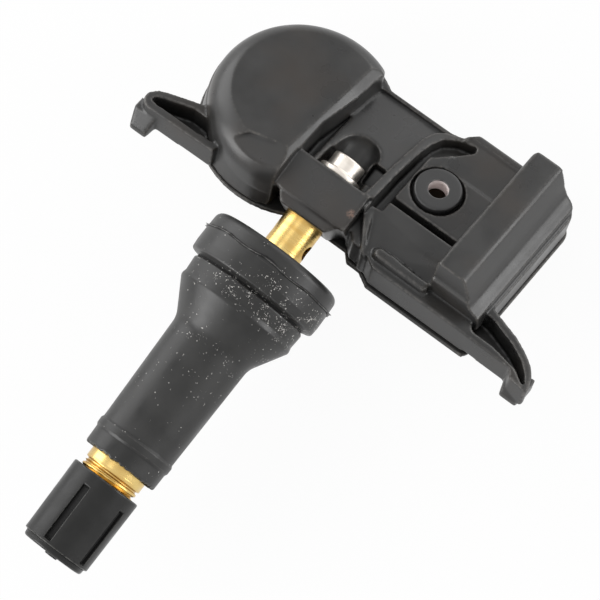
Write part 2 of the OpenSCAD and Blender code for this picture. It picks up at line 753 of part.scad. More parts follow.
module pickup_winding() {
    from = rod_front + rod_foot_t + winding_gap;
    len = rod_rear - rod_front - 2 * (rod_foot_t + winding_gap);
    color([0.72, 0.4, 0.2]) in_housing() translate([coil_x, from, coil_z]) rotate([-90, 0, 0]) difference() {
        cylinder(r = coil_r, h = len);
        translate([0, 0, -1]) cylinder(r = rod_r, h = len + 2);
    }
}

module loop_antenna() {
    // strip that stands on the board along the rear wall
    color([0.78, 0.6, 0.3]) in_housing() difference() {
        translate([-dome_x, dome_y, board_top]) cylinder(r = antenna_r, h = antenna_h);
        translate([-dome_x, dome_y, board_top - 1]) cylinder(r = antenna_r - antenna_t, h = antenna_h + 2);
        translate([-dome_x - 20, dome_y - 20, board_top - 1]) cube([40, 29, 4]);
    }
}

module capacitors() {
    places = [[8.4, 0.4], [8.4, 2.2], [11.4, 0.4], [11.4, 2.2], [8.4, 14.2]];
    color([0.62, 0.5, 0.36]) in_housing() for (p = places)
        translate([p[0], p[1], board_top]) cube([1.6, 0.8, 0.7]);
}

module port_seal() {
    color([0.27, 0.27, 0.275]) in_housing() translate([port_x, port_y, 0]) difference() {
        union() {
            translate([0, 0, chip_top]) cylinder(r = seal_neck_r, h = well_z - chip_top);
            translate([0, 0, well_z]) cylinder(r = seal_d / 2, h = seal_top - well_z);
        }
        translate([0, 0, chip_top - 1]) cylinder(r = neck_r, h = seal_top - 0.2 - chip_top + 1);
        cylinder(r = port_d / 2, h = 9);
    }
}

module port_sleeve() {
    color([0.85, 0.8, 0.79]) in_housing() translate([port_x, port_y, chip_top]) difference() {
        cylinder(r = neck_r, h = seal_top - 0.2 - chip_top);
        translate([0, 0, -1]) cylinder(r = port_d / 2, h = 9);
    }
}

module port_vent() {
    color([0.06, 0.05, 0.05]) in_housing() translate([port_x, port_y, chip_top])
        cylinder(r = port_d / 2, h = vent_z - chip_top);
}

module clamp_screw() {
    color([0.8, 0.78, 0.74]) difference() {
        union() {
            rod(screw_flange_d / 2, screw_seat, screw_seat + screw_flange_t);
            rod(screw_head_d / 2, screw_seat + screw_flange_t, screw_seat + screw_flange_t + screw_head_h);
            rod(tap_d / 2, screw_seat - screw_len, screw_seat);
        }
        along_stem(screw_seat + screw_flange_t + screw_head_h - drive_depth)
            cylinder(r = drive_af / sqrt(3), h = 5, $fn = 6);
    }
}

module stem_insert() {
    color([0.83, 0.7, 0.38]) difference() {
        along_stem() rotate_extrude() polygon([
            [0, insert_end], [thread_d / 2 - 0.5, insert_end], [thread_d / 2, insert_end + 0.5],
            [thread_d / 2, collar_end], [collar_d / 2, collar_end], [collar_d / 2, rubber_end + 2],
            [root_d / 2, rubber_end + 3], [root_d / 2, 1], [shank_d / 2, 2], [shank_d / 2, shank_end],
            [0, shank_end]]);
        along_stem() rotate_extrude() polygon([
            [0, insert_end - 1], [head_bore_d / 2, insert_end - 1], [head_bore_d / 2, head_bore_end],
            [air_bore_d / 2, seal_cone_end], [air_bore_d / 2, air_bore_end], [duct_d / 2, air_bore_end + 1],
            [duct_d / 2, tap_end], [tap_d / 2, tap_end], [tap_d / 2, shank_end + 1], [0, shank_end + 1]]);
        translate([-big / 2, cross_y, 0]) rotate([0, 90, 0]) cylinder(r = cross_d / 2, h = big);
    }
}

module rubber_stem() {
    flange_r = flange_d / 2;
    color([0.2, 0.2, 0.205]) along_stem() rotate_extrude($fn = 96) polygon(concat(
        [[collar_d / 2, rubber_end], [tip_d / 2, rubber_end]],
        [[tip_d / 2 + 0.02, ring_y - ring_w / 2], [tip_d / 2 + ring_h + 0.03, ring_y]],
        [[tip_d / 2 + 0.05, ring_y + ring_w / 2], [neck_d / 2, cone_end]],
        [[seat_d / 2, band_end], [seat_d / 2, 0], [flange_r, 0]],
        arc([flange_r - flange_round, flange_t - 0.25 - flange_round], flange_round, 0, 84, 8),
        [[shank_d / 2 + 1.5, flange_t], [shank_d / 2, flange_t]],
        [[shank_d / 2, 2], [root_d / 2, 1], [root_d / 2, rubber_end + 3], [collar_d / 2, rubber_end + 2]]));
}

module core_body() {
    color([0.75, 0.62, 0.35]) difference() {
        union() {
            rod(head_bore_d / 2 - core_gap, core_top, core_head_end);
            rod(barrel_d / 2, core_head_end, barrel_end);
        }
        // room for the pin's collar and the spring, and the two guides
        rod(1.1, collar_pin_y - 0.3, spring_end);
        rod(pin_d / 2 + pin_gap, core_top - 1, barrel_end + 1);
        // spanner slot across the head
        translate([-big / 2, core_top - 1, -0.45]) cube([big, 2.2, 0.9]);
    }
}

module core_gasket() {
    color([0.75, 0.15, 0.12]) along_stem() rotate_extrude() polygon([
        [barrel_d / 2, core_head_end], [head_bore_d / 2 - 0.15, core_head_end],
        [head_bore_d / 2 - 0.15, head_bore_end], [air_bore_d / 2 - 0.02, seal_cone_end],
        [barrel_d / 2, seal_cone_end]]);
}

module core_spring() {
    // a thin sleeve with the spring's outer size stands for the coil
    color([0.6, 0.6, 0.6]) difference() {
        rod(0.95, collar_pin_y + collar_pin_t, spring_end);
        rod(0.95 - wire_d, collar_pin_y, spring_end + 1);
    }
}

module core_pin() {
    color([0.7, 0.7, 0.68]) {
        rod(pin_d / 2, core_top, barrel_end + disc_t + 0.3);
        rod(0.9, collar_pin_y, collar_pin_y + collar_pin_t);
    }
}

module core_disc() {
    color([0.1, 0.1, 0.1]) difference() {
        rod(disc_d / 2, barrel_end, barrel_end + disc_t);
        rod(pin_d / 2, barrel_end - 1, barrel_end + disc_t + 1);
    }
}

module valve_cap() {
    color([0.2, 0.2, 0.205]) difference() {
        along_stem() rotate_extrude() polygon([
            [0, cap_bottom - cap_end_len - stub_len], [stub_r, cap_bottom - cap_end_len - stub_len],
            [stub_r, cap_bottom - cap_end_len], [cap_tip_d / 2 - 0.6, cap_bottom - cap_end_len],
            [cap_tip_d / 2 - 0.35, cap_bottom - cap_end_len + 0.3], [cap_tip_d / 2 - 0.35, cap_bottom],
            [cap_tip_d / 2, cap_bottom + 0.2], [cap_d / 2, cap_mouth], [0, cap_mouth]]);
        rod(thread_d / 2 + cap_gap, liner_end, cap_mouth + 1);
        along_stem() for (i = [0 : cap_grooves - 1]) rotate([0, 0, -98 + 360 / cap_grooves * i])
            translate([cap_d / 2 - cap_groove_t - 0.05, -cap_groove_w / 2, cap_bottom - 2])
                cube([2, cap_groove_w, cap_len + 2 - cap_smooth]);
    }
}

module cap_liner() {
    color([0.35, 0.33, 0.3]) difference() {
        rod(thread_d / 2 + cap_gap - 0.05, liner_end, insert_end);
        rod(0.8, liner_end - 1, insert_end + 1);
    }
}

housing_shell();
base_cover();
circuit_board();
coin_cell();
cell_tab_top();
cell_tab_bottom();
pressure_chip();
controller_chip();
timing_crystal();
pickup_core();
pickup_winding();
loop_antenna();
capacitors();
port_seal();
port_sleeve();
port_vent();
clamp_screw();
stem_insert();
rubber_stem();
core_body();
core_gasket();
core_spring();
core_pin();
core_disc();
valve_cap();
cap_liner();
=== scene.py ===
import json
import bmesh
import bpy
import numpy as np
from mathutils import Matrix, Vector


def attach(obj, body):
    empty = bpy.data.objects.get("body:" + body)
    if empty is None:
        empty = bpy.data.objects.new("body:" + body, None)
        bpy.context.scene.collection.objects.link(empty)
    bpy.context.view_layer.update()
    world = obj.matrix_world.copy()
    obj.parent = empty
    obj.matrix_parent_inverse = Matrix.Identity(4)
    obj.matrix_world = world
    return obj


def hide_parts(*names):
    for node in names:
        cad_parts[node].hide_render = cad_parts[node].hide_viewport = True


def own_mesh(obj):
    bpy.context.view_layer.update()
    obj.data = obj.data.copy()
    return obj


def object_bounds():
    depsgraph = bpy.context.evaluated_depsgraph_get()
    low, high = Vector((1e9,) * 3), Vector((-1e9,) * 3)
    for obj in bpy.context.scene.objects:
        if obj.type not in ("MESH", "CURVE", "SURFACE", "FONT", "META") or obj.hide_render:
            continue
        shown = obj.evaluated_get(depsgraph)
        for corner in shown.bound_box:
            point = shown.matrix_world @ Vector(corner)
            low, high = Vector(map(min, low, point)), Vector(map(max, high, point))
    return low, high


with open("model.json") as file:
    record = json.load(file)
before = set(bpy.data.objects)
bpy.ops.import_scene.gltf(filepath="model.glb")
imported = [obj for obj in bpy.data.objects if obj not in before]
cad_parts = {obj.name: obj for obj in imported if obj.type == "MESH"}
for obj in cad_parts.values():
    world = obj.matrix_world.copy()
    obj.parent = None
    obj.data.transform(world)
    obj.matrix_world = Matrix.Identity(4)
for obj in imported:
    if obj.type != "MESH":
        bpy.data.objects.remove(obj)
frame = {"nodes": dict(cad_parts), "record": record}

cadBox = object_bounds()
mm = 0.001
turn = 2 * np.pi
print("frame loaded")

# Lengths below are millimetres on the stem's axis: +y into the wheel, the cap lies towards -y.
# The housing's own coordinates are pitched back about x and set off along the stem.
housing = {"pitch": 22.0, "pivotY": 14.0}


def fromHousing(p):
    # turns housing coordinates by the pitch about x, then moves them along the stem
    c, s = np.cos(np.radians(housing["pitch"])), np.sin(np.radians(housing["pitch"]))
    x, y, z = p[..., 0], p[..., 1], p[..., 2]
    return np.stack((x, housing["pivotY"] + y * c + z * s, z * c - y * s), -1)


def toHousing(p):
    # the way back: off the stem, then the opposite turn
    c, s = np.cos(np.radians(housing["pitch"])), np.sin(np.radians(housing["pitch"]))
    x, y, z = p[..., 0], p[..., 1] - housing["pivotY"], p[..., 2]
    return np.stack((x, y * c - z * s, y * s + z * c), -1)


# Camera

cameraPlace = {
    "distance": 358.0,
    "right": 11.5,       # degrees that it stands to the object's right
    "front": 5.2,        # degrees that it stands towards the cap
    "roll": 37.19,       # turn about its own line of sight
    "firstRoll": 0.39,   # the smaller turn that the shift below refers to
    "shift": (-131.5, 67.0),   # where the origin shows, in thirds of a pixel
    "focal": 8700.0,     # focal length in thirds of a pixel
    "frame": 1800.0,     # width of the picture in thirds of a pixel
    "sensor": 36.0,
    "nearest": 0.01,     # metres
    "furthest": 20.0,
}


def unit(v):
    # the vector over its length
    return v / np.linalg.norm(v)


def makeCamera(c):
    # line of sight from two angles, then the screen's axes turned about it
    a, b = np.radians(c["right"]), np.radians(c["front"])
    back = np.array((np.sin(a) * np.cos(b), -np.sin(b), np.cos(a) * np.cos(b)))
    up = unit(np.array((0.0, 1.0, 0.0)) - back[1] * back)
    right = np.cross(up, back)

    def rolled(degrees):
        k, s = np.cos(np.radians(degrees)), np.sin(np.radians(degrees))
        return k * right + s * up, k * up - s * right

    flatRight, flatUp = rolled(c["firstRoll"])
    scale = c["distance"] / c["focal"]
    place = c["distance"] * back - c["shift"][0] * scale * flatRight + c["shift"][1] * scale * flatUp
    screenRight, screenUp = rolled(c["roll"])
    camera = bpy.data.objects.new("camera", bpy.data.cameras.new("camera"))
    bpy.context.collection.objects.link(camera)
    turned = Matrix(np.stack((screenRight, screenUp, back), 1).tolist()).to_4x4()
    camera.matrix_world = Matrix.Translation((place * mm).tolist()) @ turned
    camera.data.sensor_width = c["sensor"]
    camera.data.lens = c["focal"] / c["frame"] * c["sensor"]
    camera.data.clip_start = c["nearest"]
    camera.data.clip_end = c["furthest"]
    bpy.context.scene.camera = camera


makeCamera(cameraPlace)
print("camera placed")


# Shader helpers and node groups

def add(tree, kind, inputs=None, **settings):
    # a node with its settings; an input is linked to a socket or set to a plain value
    node = tree.nodes.new(kind)
    for key, value in settings.items():
        setattr(node, key, value)
    for key, value in (inputs or {}).items():
        if isinstance(value, bpy.types.NodeSocket):
            tree.links.new(value, node.inputs[key])
        else:
            node.inputs[key].default_value = value
    return node


def calc(tree, operation, a, b=0.0, c=0.0):
    # one step of arithmetic
    return add(tree, "ShaderNodeMath", {0: a, 1: b, 2: c}, operation=operation).outputs[0]


def span(tree, value, low, high, toLow=0.0, toHigh=1.0):
    # maps low..high to toLow..toHigh and holds the ends
    return add(tree, "ShaderNodeMapRange", {"Value": value, "From Min": low, "From Max": high,
                                            "To Min": toLow, "To Max": toHigh}).outputs[0]


def blendColour(tree, share, a, b, mode="MIX"):
    # from a to b by share, or from a to a times b
    return add(tree, "ShaderNodeMix", {0: share, 6: a, 7: b}, data_type="RGBA", blend_type=mode).outputs[2]


def noise(tree, where, scale, detail=2.0, rough=0.5):
    # smooth noise in space, about 0..1
    return add(tree, "ShaderNodeTexNoise", {"Vector": where, "Scale": scale, "Detail": detail,
                                            "Roughness": rough}).outputs[0]


def lineNoise(tree, along, scale, detail):
    # smooth noise that changes with one length only
    return add(tree, "ShaderNodeTexNoise", {"W": along, "Scale": scale, "Detail": detail},
               noise_dimensions="1D").outputs[0]


def vectorCalc(tree, operation, inputs):
    # one step of arithmetic on vectors
    return add(tree, "ShaderNodeVectorMath", inputs, operation=operation).outputs[0]


def attribute(tree, name):
    # a value that the mesh holds at each point
    return add(tree, "ShaderNodeAttribute", attribute_name=name).outputs["Fac"]


def newGroup(name, inputs, outputs):
    # an empty node group with named sockets: f is a number, v a vector, c a colour
    tree = bpy.data.node_groups.new(name, "ShaderNodeTree")
    kinds = {"f": "NodeSocketFloat", "v": "NodeSocketVector", "c": "NodeSocketColor"}
    for label, kind, value in inputs:
        socket = tree.interface.new_socket(label, in_out="INPUT", socket_type=kinds[kind])
        if value is not None:
            socket.default_value = value
    for label, kind in outputs:
        tree.interface.new_socket(label, in_out="OUTPUT", socket_type=kinds[kind])
    return tree, tree.nodes.new("NodeGroupInput").outputs, tree.nodes.new("NodeGroupOutput").inputs


grainForm = {"detail": 3.0, "fineRough": 0.6, "wideRough": 0.55, "patchFrom": (0.35, 0.65)}


def makeMouldGrain(form):
    # fine noise for the tooled grain, wide noise for patches of sheen
    tree, given, put = newGroup("mouldGrain", [("Vector", "v", None), ("Fine", "f", 5000.0),
                                               ("Wide", "f", 220.0)], [("Height", "f"), ("Patch", "f")])
    fine = noise(tree, given["Vector"], given["Fine"], form["detail"], form["fineRough"])
    wide = noise(tree, given["Vector"], given["Wide"], form["detail"], form["wideRough"])
    tree.links.new(fine, put["Height"])
    tree.links.new(span(tree, wide, *form["patchFrom"]), put["Patch"])
    return tree


def makeTone():
    # colour times a level that runs from Low to High with the patch
    tree, given, put = newGroup("tone", [("Colour", "c", None), ("Patch", "f", 0.5), ("Low", "f", 0.9),
                                         ("High", "f", 1.1)], [("Colour", "c")])
    rise = calc(tree, "SUBTRACT", given["High"], given["Low"])
    level = calc(tree, "MULTIPLY_ADD", given["Patch"], rise, given["Low"])
    grey = add(tree, "ShaderNodeCombineColor", {0: level, 1: level, 2: level}).outputs[0]
    tree.links.new(blendColour(tree, 1.0, given["Colour"], grey, "MULTIPLY"), put["Colour"])
    return tree


dustForm = {
    "warpScale": 1.6, "warpReach": 1.5,      # noise that bends the lattice: scale and reach, by the cells'
    "least": 0.3,                            # smallest speck, by Radius; the largest is one more
    "gatherScale": 0.12, "gatherRough": 0.6,
    "gatherFrom": (0.45, 0.68),              # wide noise that gathers the specks
    "gatherTo": (0.06, 2.6),                 # what it multiplies Amount by
}


def makeDust(form):
    # one ragged speck in some cells of a warped random lattice, gathered where wide noise is high
    tree, given, put = newGroup("dustSpecks", [("Vector", "v", None), ("Scale", "f", 3000.0),
                                               ("Amount", "f", 0.2), ("Radius", "f", 0.2)], [("Mask", "f")])
    warpScale = calc(tree, "MULTIPLY", given["Scale"], form["warpScale"])
    warp = add(tree, "ShaderNodeTexNoise", {"Vector": given["Vector"], "Detail": 2.0, "Scale": warpScale})
    centred = vectorCalc(tree, "SUBTRACT", {0: warp.outputs["Color"], 1: (0.5, 0.5, 0.5)})
    reach = calc(tree, "DIVIDE", form["warpReach"], given["Scale"])
    bend = vectorCalc(tree, "SCALE", {0: centred, "Scale": reach})
    warped = vectorCalc(tree, "ADD", {0: given["Vector"], 1: bend})
    cells = add(tree, "ShaderNodeTexVoronoi", {"Vector": warped, "Scale": given["Scale"]})
    chance = add(tree, "ShaderNodeSeparateColor", {0: cells.outputs["Color"]}).outputs
    size = calc(tree, "MULTIPLY", given["Radius"], calc(tree, "ADD", chance[1], form["least"]))
    near = calc(tree, "LESS_THAN", cells.outputs["Distance"], size)
    gatherScale = calc(tree, "MULTIPLY", given["Scale"], form["gatherScale"])
    gather = noise(tree, given["Vector"], gatherScale, 2.0, form["gatherRough"])
    gathered = span(tree, gather, *form["gatherFrom"], *form["gatherTo"])
    kept = calc(tree, "LESS_THAN", chance[0], calc(tree, "MULTIPLY", given["Amount"], gathered))
    tree.links.new(calc(tree, "MULTIPLY", near, kept), put["Mask"])
    return tree


highlightAndWearForm = {"detail": 3.0, "rough": 0.65, "brokenFrom": (0.35, 0.6)}


def makeEdgeHighlightAndWear(form):
    # outward bends of the surface, broken up by noise: the mask for the painted edge highlight, and for the
    # real scuff
    tree, given, put = newGroup("edgeWear", [("Vector", "v", None), ("Edge", "f", 0.0),
                                             ("Scale", "f", 1500.0), ("Start", "f", 0.4),
                                             ("End", "f", 0.9)], [("Mask", "f")])
    broken = noise(tree, given["Vector"], given["Scale"], form["detail"], form["rough"])
    bent = span(tree, given["Edge"], given["Start"], given["End"])
    tree.links.new(calc(tree, "MULTIPLY", bent, span(tree, broken, *form["brokenFrom"])), put["Mask"])
    return tree


lineForm = {"fineDetail": 3.0, "wideDetail": 2.0, "wideScale": 0.15, "shadeFrom": (0.35, 0.65)}


def makeTurnedLines(form):
    # noise that changes only along the turning axis gives a lathe's fine rings
    tree, given, put = newGroup("turnedLines", [("Along", "f", 0.0), ("Scale", "f", 9000.0)],
                                [("Height", "f"), ("Shade", "f")])
    fine = lineNoise(tree, given["Along"], given["Scale"], form["fineDetail"])
    wideScale = calc(tree, "MULTIPLY", given["Scale"], form["wideScale"])
    wide = lineNoise(tree, given["Along"], wideScale, form["wideDetail"])
    tree.links.new(fine, put["Height"])
    tree.links.new(span(tree, wide, *form["shadeFrom"]), put["Shade"])
    return tree


groups = {"grain": makeMouldGrain(grainForm), "tone": makeTone(), "dust": makeDust(dustForm),
          "highlightAndWear": makeEdgeHighlightAndWear(highlightAndWearForm), "lines": makeTurnedLines(lineForm)}


def place(tree, key, inputs):
    # one of the groups above, put in a material with its own values
    return add(tree, "ShaderNodeGroup", inputs, node_tree=groups[key]).outputs


def startMaterial(name, values):
    # plain numbers go straight on the shader's sockets
    made = bpy.data.materials.new(name)
    made.use_nodes = True
    tree = made.node_tree
    shader = tree.nodes["Principled BSDF"]
    for key, value in values.items():
        shader.inputs[key].default_value = value
    return made, tree, shader.inputs


def objectPoint(tree):
    # the point's place on the object
    return add(tree, "ShaderNodeTexCoord").outputs["Object"]


def bump(tree, height, depth, normalInput, strength):
    # height in 0..1 raises the surface by depth in millimetres
    node = add(tree, "ShaderNodeBump", {"Height": height, "Distance": depth * mm, "Strength": strength})
    tree.links.new(node.outputs[0], normalInput)


def colour(rgb):
    # red, green and blue with full cover
    return (rgb[0], rgb[1], rgb[2], 1.0)


finishForm = {
    "tintScale": 0.6, "tintFrom": (0.5, 0.7),    # patches of the second colour, by the wide noise's scale
    "sunkRough": 0.8, "dustRough": 0.9,          # least roughness in a recess and under dust
    "plasticBump": 0.6, "metalBump": 0.5,
    "metalGrain": 0.5,                           # height of the grain beside the turned lines
}


def plasticMaterial(name, look, form=finishForm):
    # moulded plastic or rubber: grain in the height, patches in tone and roughness, painted highlight on
    # edges, painted shade in recesses, dust
    made, tree, put = startMaterial(name, {"Specular IOR Level": look.get("specular", 0.5)})
    where = objectPoint(tree)
    grain = place(tree, "grain", {"Vector": where, "Fine": look["fine"], "Wide": look["wide"]})
    shade = place(tree, "tone", {"Colour": colour(look["colour"]), "Patch": grain["Patch"],
                                 "Low": 1 - look["vary"], "High": 1 + look["vary"]})["Colour"]
    rough = span(tree, grain["Patch"], 0.0, 1.0, *look["rough"])
    if "tint" in look:
        patches = noise(tree, where, look["wide"] * form["tintScale"], 2.0)
        shade = blendColour(tree, span(tree, patches, *form["tintFrom"]), shade, colour(look["tint"]))
    # painted highlight: convex edges are lightened towards the edge colour
    if "edge" in look:
        start, end = look["edgeFrom"]
        edgeLight = place(tree, "highlightAndWear", {"Vector": where, "Edge": attribute(tree, "edge"), "Start": start,
                                    "End": end})["Mask"]
        shade = blendColour(tree, edgeLight, shade, colour(look["edge"]))
    if "scuff" in look:
        start, end = look["scuffFrom"]
        away = add(tree, "ShaderNodeVectorMath", {0: where, 1: [k * mm for k in look["scuffAt"]]},
                   operation="DISTANCE").outputs["Value"]
        near = span(tree, away, look["scuffSize"] * mm, 0.0)
        rubbed = place(tree, "highlightAndWear", {"Vector": where, "Edge": near, "Scale": look["scuffScale"],
                                      "Start": start, "End": end})["Mask"]
        shade = blendColour(tree, rubbed, shade, colour(look["scuff"]))
    # painted shade: the recess attribute darkens the colour in creases and recesses
    if "recessShade" in look:
        paintedShade = attribute(tree, "recessShade")
        shade = blendColour(tree, paintedShade, shade, colour(look["recessShade"]))
        rough = calc(tree, "MAXIMUM", rough, calc(tree, "MULTIPLY", paintedShade, form["sunkRough"]))
    if "dust" in look:
        amount = calc(tree, "MULTIPLY", attribute(tree, "dust"), look["dust"])
        specks = place(tree, "dust", {"Vector": where, "Scale": look["dustScale"], "Amount": amount,
                                      "Radius": look["dustRadius"]})["Mask"]
        shade = blendColour(tree, specks, shade, colour(look["dustColour"]))
        rough = calc(tree, "MAXIMUM", rough, calc(tree, "MULTIPLY", specks, form["dustRough"]))
    tree.links.new(shade, put["Base Color"])
    tree.links.new(rough, put["Roughness"])
    bump(tree, grain["Height"], look["grainDepth"], put["Normal"], form["plasticBump"])
    return made


def metalMaterial(name, look, form=finishForm):
    # turned or drawn metal: rings along y in the height, faint tarnish in colour and roughness
    made, tree, put = startMaterial(name, {"Metallic": 1.0})
    where = objectPoint(tree)
    along = add(tree, "ShaderNodeSeparateXYZ", {0: where}).outputs[1]
    lines = place(tree, "lines", {"Along": along, "Scale": look["lines"]})
    grain = place(tree, "grain", {"Vector": where, "Fine": look["fine"], "Wide": look["wide"]})
    mixed = calc(tree, "MULTIPLY", calc(tree, "ADD", lines["Shade"], grain["Patch"]), 0.5)
    shade = blendColour(tree, mixed, colour(look["deep"]), colour(look["colour"]))
    # painted shade: the recess attribute darkens the brass in its creases
    if "recessShade" in look:
        shade = blendColour(tree, attribute(tree, "recessShade"), shade, colour(look["recessShade"]))
    tree.links.new(shade, put["Base Color"])
    tree.links.new(span(tree, mixed, 0.0, 1.0, look["rough"][1], look["rough"][0]), put["Roughness"])
    height = calc(tree, "ADD", lines["Height"], calc(tree, "MULTIPLY", grain["Height"], form["metalGrain"]))
    bump(tree, height, look["depth"], put["Normal"], form["metalBump"])
    return made


# Mesh helpers

meshForm = {
    "weld": 2e-7, "flat": 1e-8,              # metres: points merged, edges too short to keep
    "solidWeld": 0.002,                      # mm: points of a solid's loose triangles
    "crease": 50.0, "metalCrease": 40.0,     # degrees past which an edge is drawn sharp
    "sideShare": 0.49,                       # most of a side that one fillet may take
    "arcStep": 0.12, "arcRows": 4,           # mm between a fillet's rows, and the fewest rows
    "leastWave": 0.3,
    "threadSlope": 2.6, "threadCrest": 0.3,
    "spreads": 2, "recessShadeGain": 1.5,         # smoothing of the edge marks, and how strong the painted recess shade is
    "relaxFactor": 0.5,
}


def gridFaces(rows, cols, wrapRows):
    # one quad between each point, its neighbour round the turn and the two in the next row
    i = np.arange(rows if wrapRows else rows - 1)[:, None]
    j = np.arange(cols)[None]
    iNext, jNext = (i + 1) % rows, (j + 1) % cols
    around = (i * cols + j, i * cols + jNext, iNext * cols + jNext, iNext * cols + j)
    return np.stack(around, -1).reshape(-1, 4)


def gridPiece(name, grid, wrapRows=False):
    # a mesh on rows of points, each row closed round the turn
    rows, cols = grid.shape[:2]
    mesh = bpy.data.meshes.new(name)
    mesh.from_pydata((grid.reshape(-1, 3) * mm).tolist(), [], gridFaces(rows, cols, wrapRows).tolist())
    return finishPiece(name, mesh)


def finishPiece(name, mesh):
    # merges poles, turns faces outwards and keeps only real creases sharp
    work = bmesh.new()
    work.from_mesh(mesh)
    bmesh.ops.remove_doubles(work, verts=work.verts, dist=meshForm["weld"])
    bmesh.ops.dissolve_degenerate(work, edges=work.edges, dist=meshForm["flat"])
    bmesh.ops.recalc_face_normals(work, faces=work.faces)
    work.to_mesh(mesh)
    work.free()
    mesh.shade_smooth()
    mesh.set_sharp_from_angle(angle=np.radians(meshForm["crease"]))
    return addPiece(name, mesh)


def addPiece(name, mesh):
    # the mesh as an object in the scene
    piece = bpy.data.objects.new(name, mesh)
    bpy.context.collection.objects.link(piece)
    return piece


def roundedProfile(corners, form=meshForm):
    # each corner (y, r, fillet, step) is an arc tangent to its two sides; step spaces the rows after it
    start = np.array(corners[0][:2], float)
    rows = [start[None]]
    for before, here, after in zip(corners, corners[1:], corners[2:] + [corners[-1]]):
        p, q, s = (np.array(k[:2], float) for k in (before, here, after))
        arc = q[None]
        if here[2] > 0:
            a, b = unit(p - q), unit(s - q)
            half = 0.5 * np.arccos(np.clip(a @ b, -1, 1))
            room = form["sideShare"] * min(np.linalg.norm(p - q), np.linalg.norm(s - q))
            cut = min(here[2] / np.tan(half), room)
            radius = cut * np.tan(half)
            middle = q + unit(a + b) * radius / np.sin(half)
            count = max(form["arcRows"], int(radius * (np.pi - 2 * half) / form["arcStep"]) + 2)
            t = np.linspace(0, 1, count)[:, None]
            first, last = q + a * cut - middle, q + b * cut - middle
            angle = np.arccos(np.clip(unit(first) @ unit(last), -1, 1))
            arc = middle + (np.sin((1 - t) * angle) * first + np.sin(t * angle) * last) / np.sin(angle)
        line = arc[0] - start
        count = max(1, int(np.linalg.norm(line) / before[3]))
        rows += [start + line * np.linspace(0, 1, count + 1)[1:, None], arc[1:]]
        start = arc[-1]
    return np.concatenate(rows)


def revolve(profile, steps, shape=None):
    # x = r sin(a), y = y, z = r cos(a); shape may bend y and r first
    y, r = (np.repeat(profile[:, k, None], steps, 1) for k in (0, 1))
    a = np.broadcast_to(np.arange(steps) * turn / steps, y.shape)
    if shape:
        y, r = shape(y, r, a)
    return np.stack((r * np.sin(a), y, r * np.cos(a)), -1)


def upright(grid, centre):
    # a shape revolved about y is stood on the housing's own z at a centre, then turned with the housing
    stood = np.stack((grid[..., 0] + centre[0], grid[..., 2] + centre[1], grid[..., 1]), -1)
    return fromHousing(stood)


def ripple(a, seed, waves, low=2):
    # sum of sines round the turn with random phases, scaled to about -1..1; the slowest has low waves
    rng = np.random.default_rng(seed)
    counts = np.arange(low, low + waves)
    phase = rng.random(waves) * turn
    size = rng.random(waves) + meshForm["leastWave"]
    total = sum(k * np.sin(n * a + p) for n, p, k in zip(counts, phase, size))
    return total / np.sqrt((size ** 2).sum())


def threadRadius(y, a, top, depth, pitch):
    # rounded V that climbs one pitch each turn: high on the crest, low in the root
    phase = (y / pitch - a / turn) % 1
    paintedShade = np.abs(phase - 0.5) * meshForm["threadSlope"] - meshForm["threadCrest"]
    return top - depth * np.clip(paintedShade, 0, 1)


def bell(value, middle, width):
    # one at the middle, falling with the square of the distance in widths
    return np.exp(-((value - middle) / width) ** 2)


def points(piece):
    # the mesh's points, from metres to millimetres
    flat = np.empty(len(piece.data.vertices) * 3, np.float32)
    piece.data.vertices.foreach_get("co", flat)
    return flat.reshape(-1, 3).astype(float) / mm


def putAttribute(piece, name, values):
    # one number at each point, for the materials
    held = piece.data.attributes.get(name) or piece.data.attributes.new(name, "FLOAT", "POINT")
    held.data.foreach_set("value", np.asarray(values, np.float32))


def attributeOf(piece, name):
    # the numbers that putAttribute wrote
    values = np.empty(len(piece.data.vertices), np.float32)
    piece.data.attributes[name].data.foreach_get("value", values)
    return values


def markEdges(piece, radius):
    # outward bend at each point: mean of normal . (point - neighbour) / distance squared, times a radius
    mesh = piece.data
    count = len(mesh.vertices)
    ends = np.empty(len(mesh.edges) * 2, np.int32)
    mesh.edges.foreach_get("vertices", ends)
    one, two = ends.reshape(-1, 2).T
    normal = np.empty(count * 3, np.float32)
    mesh.vertices.foreach_get("normal", normal)
    normal = normal.reshape(-1, 3)
    where = points(piece)
    step = where[one] - where[two]
    square = (step ** 2).sum(1) + 1e-9   # never zero
    share = np.bincount(one, (normal[one] * step).sum(1) / square, count)
    share -= np.bincount(two, (normal[two] * step).sum(1) / square, count)
    number = np.bincount(one, minlength=count) + np.bincount(two, minlength=count)
    bend = share / np.maximum(number, 1)
    for _ in range(meshForm["spreads"]):
        spread = np.bincount(one, bend[two], count) + np.bincount(two, bend[one], count)
        bend = 0.5 * bend + 0.5 * spread / np.maximum(number, 1)
    # painted highlight: outward bends lighten edges through this attribute
    putAttribute(piece, "edge", np.clip(bend * radius, 0, 1))
    # painted shade: inward bends darken creases and recesses through this attribute
    putAttribute(piece, "recessShade", np.clip(-bend * radius * meshForm["recessShadeGain"], 0, 1))


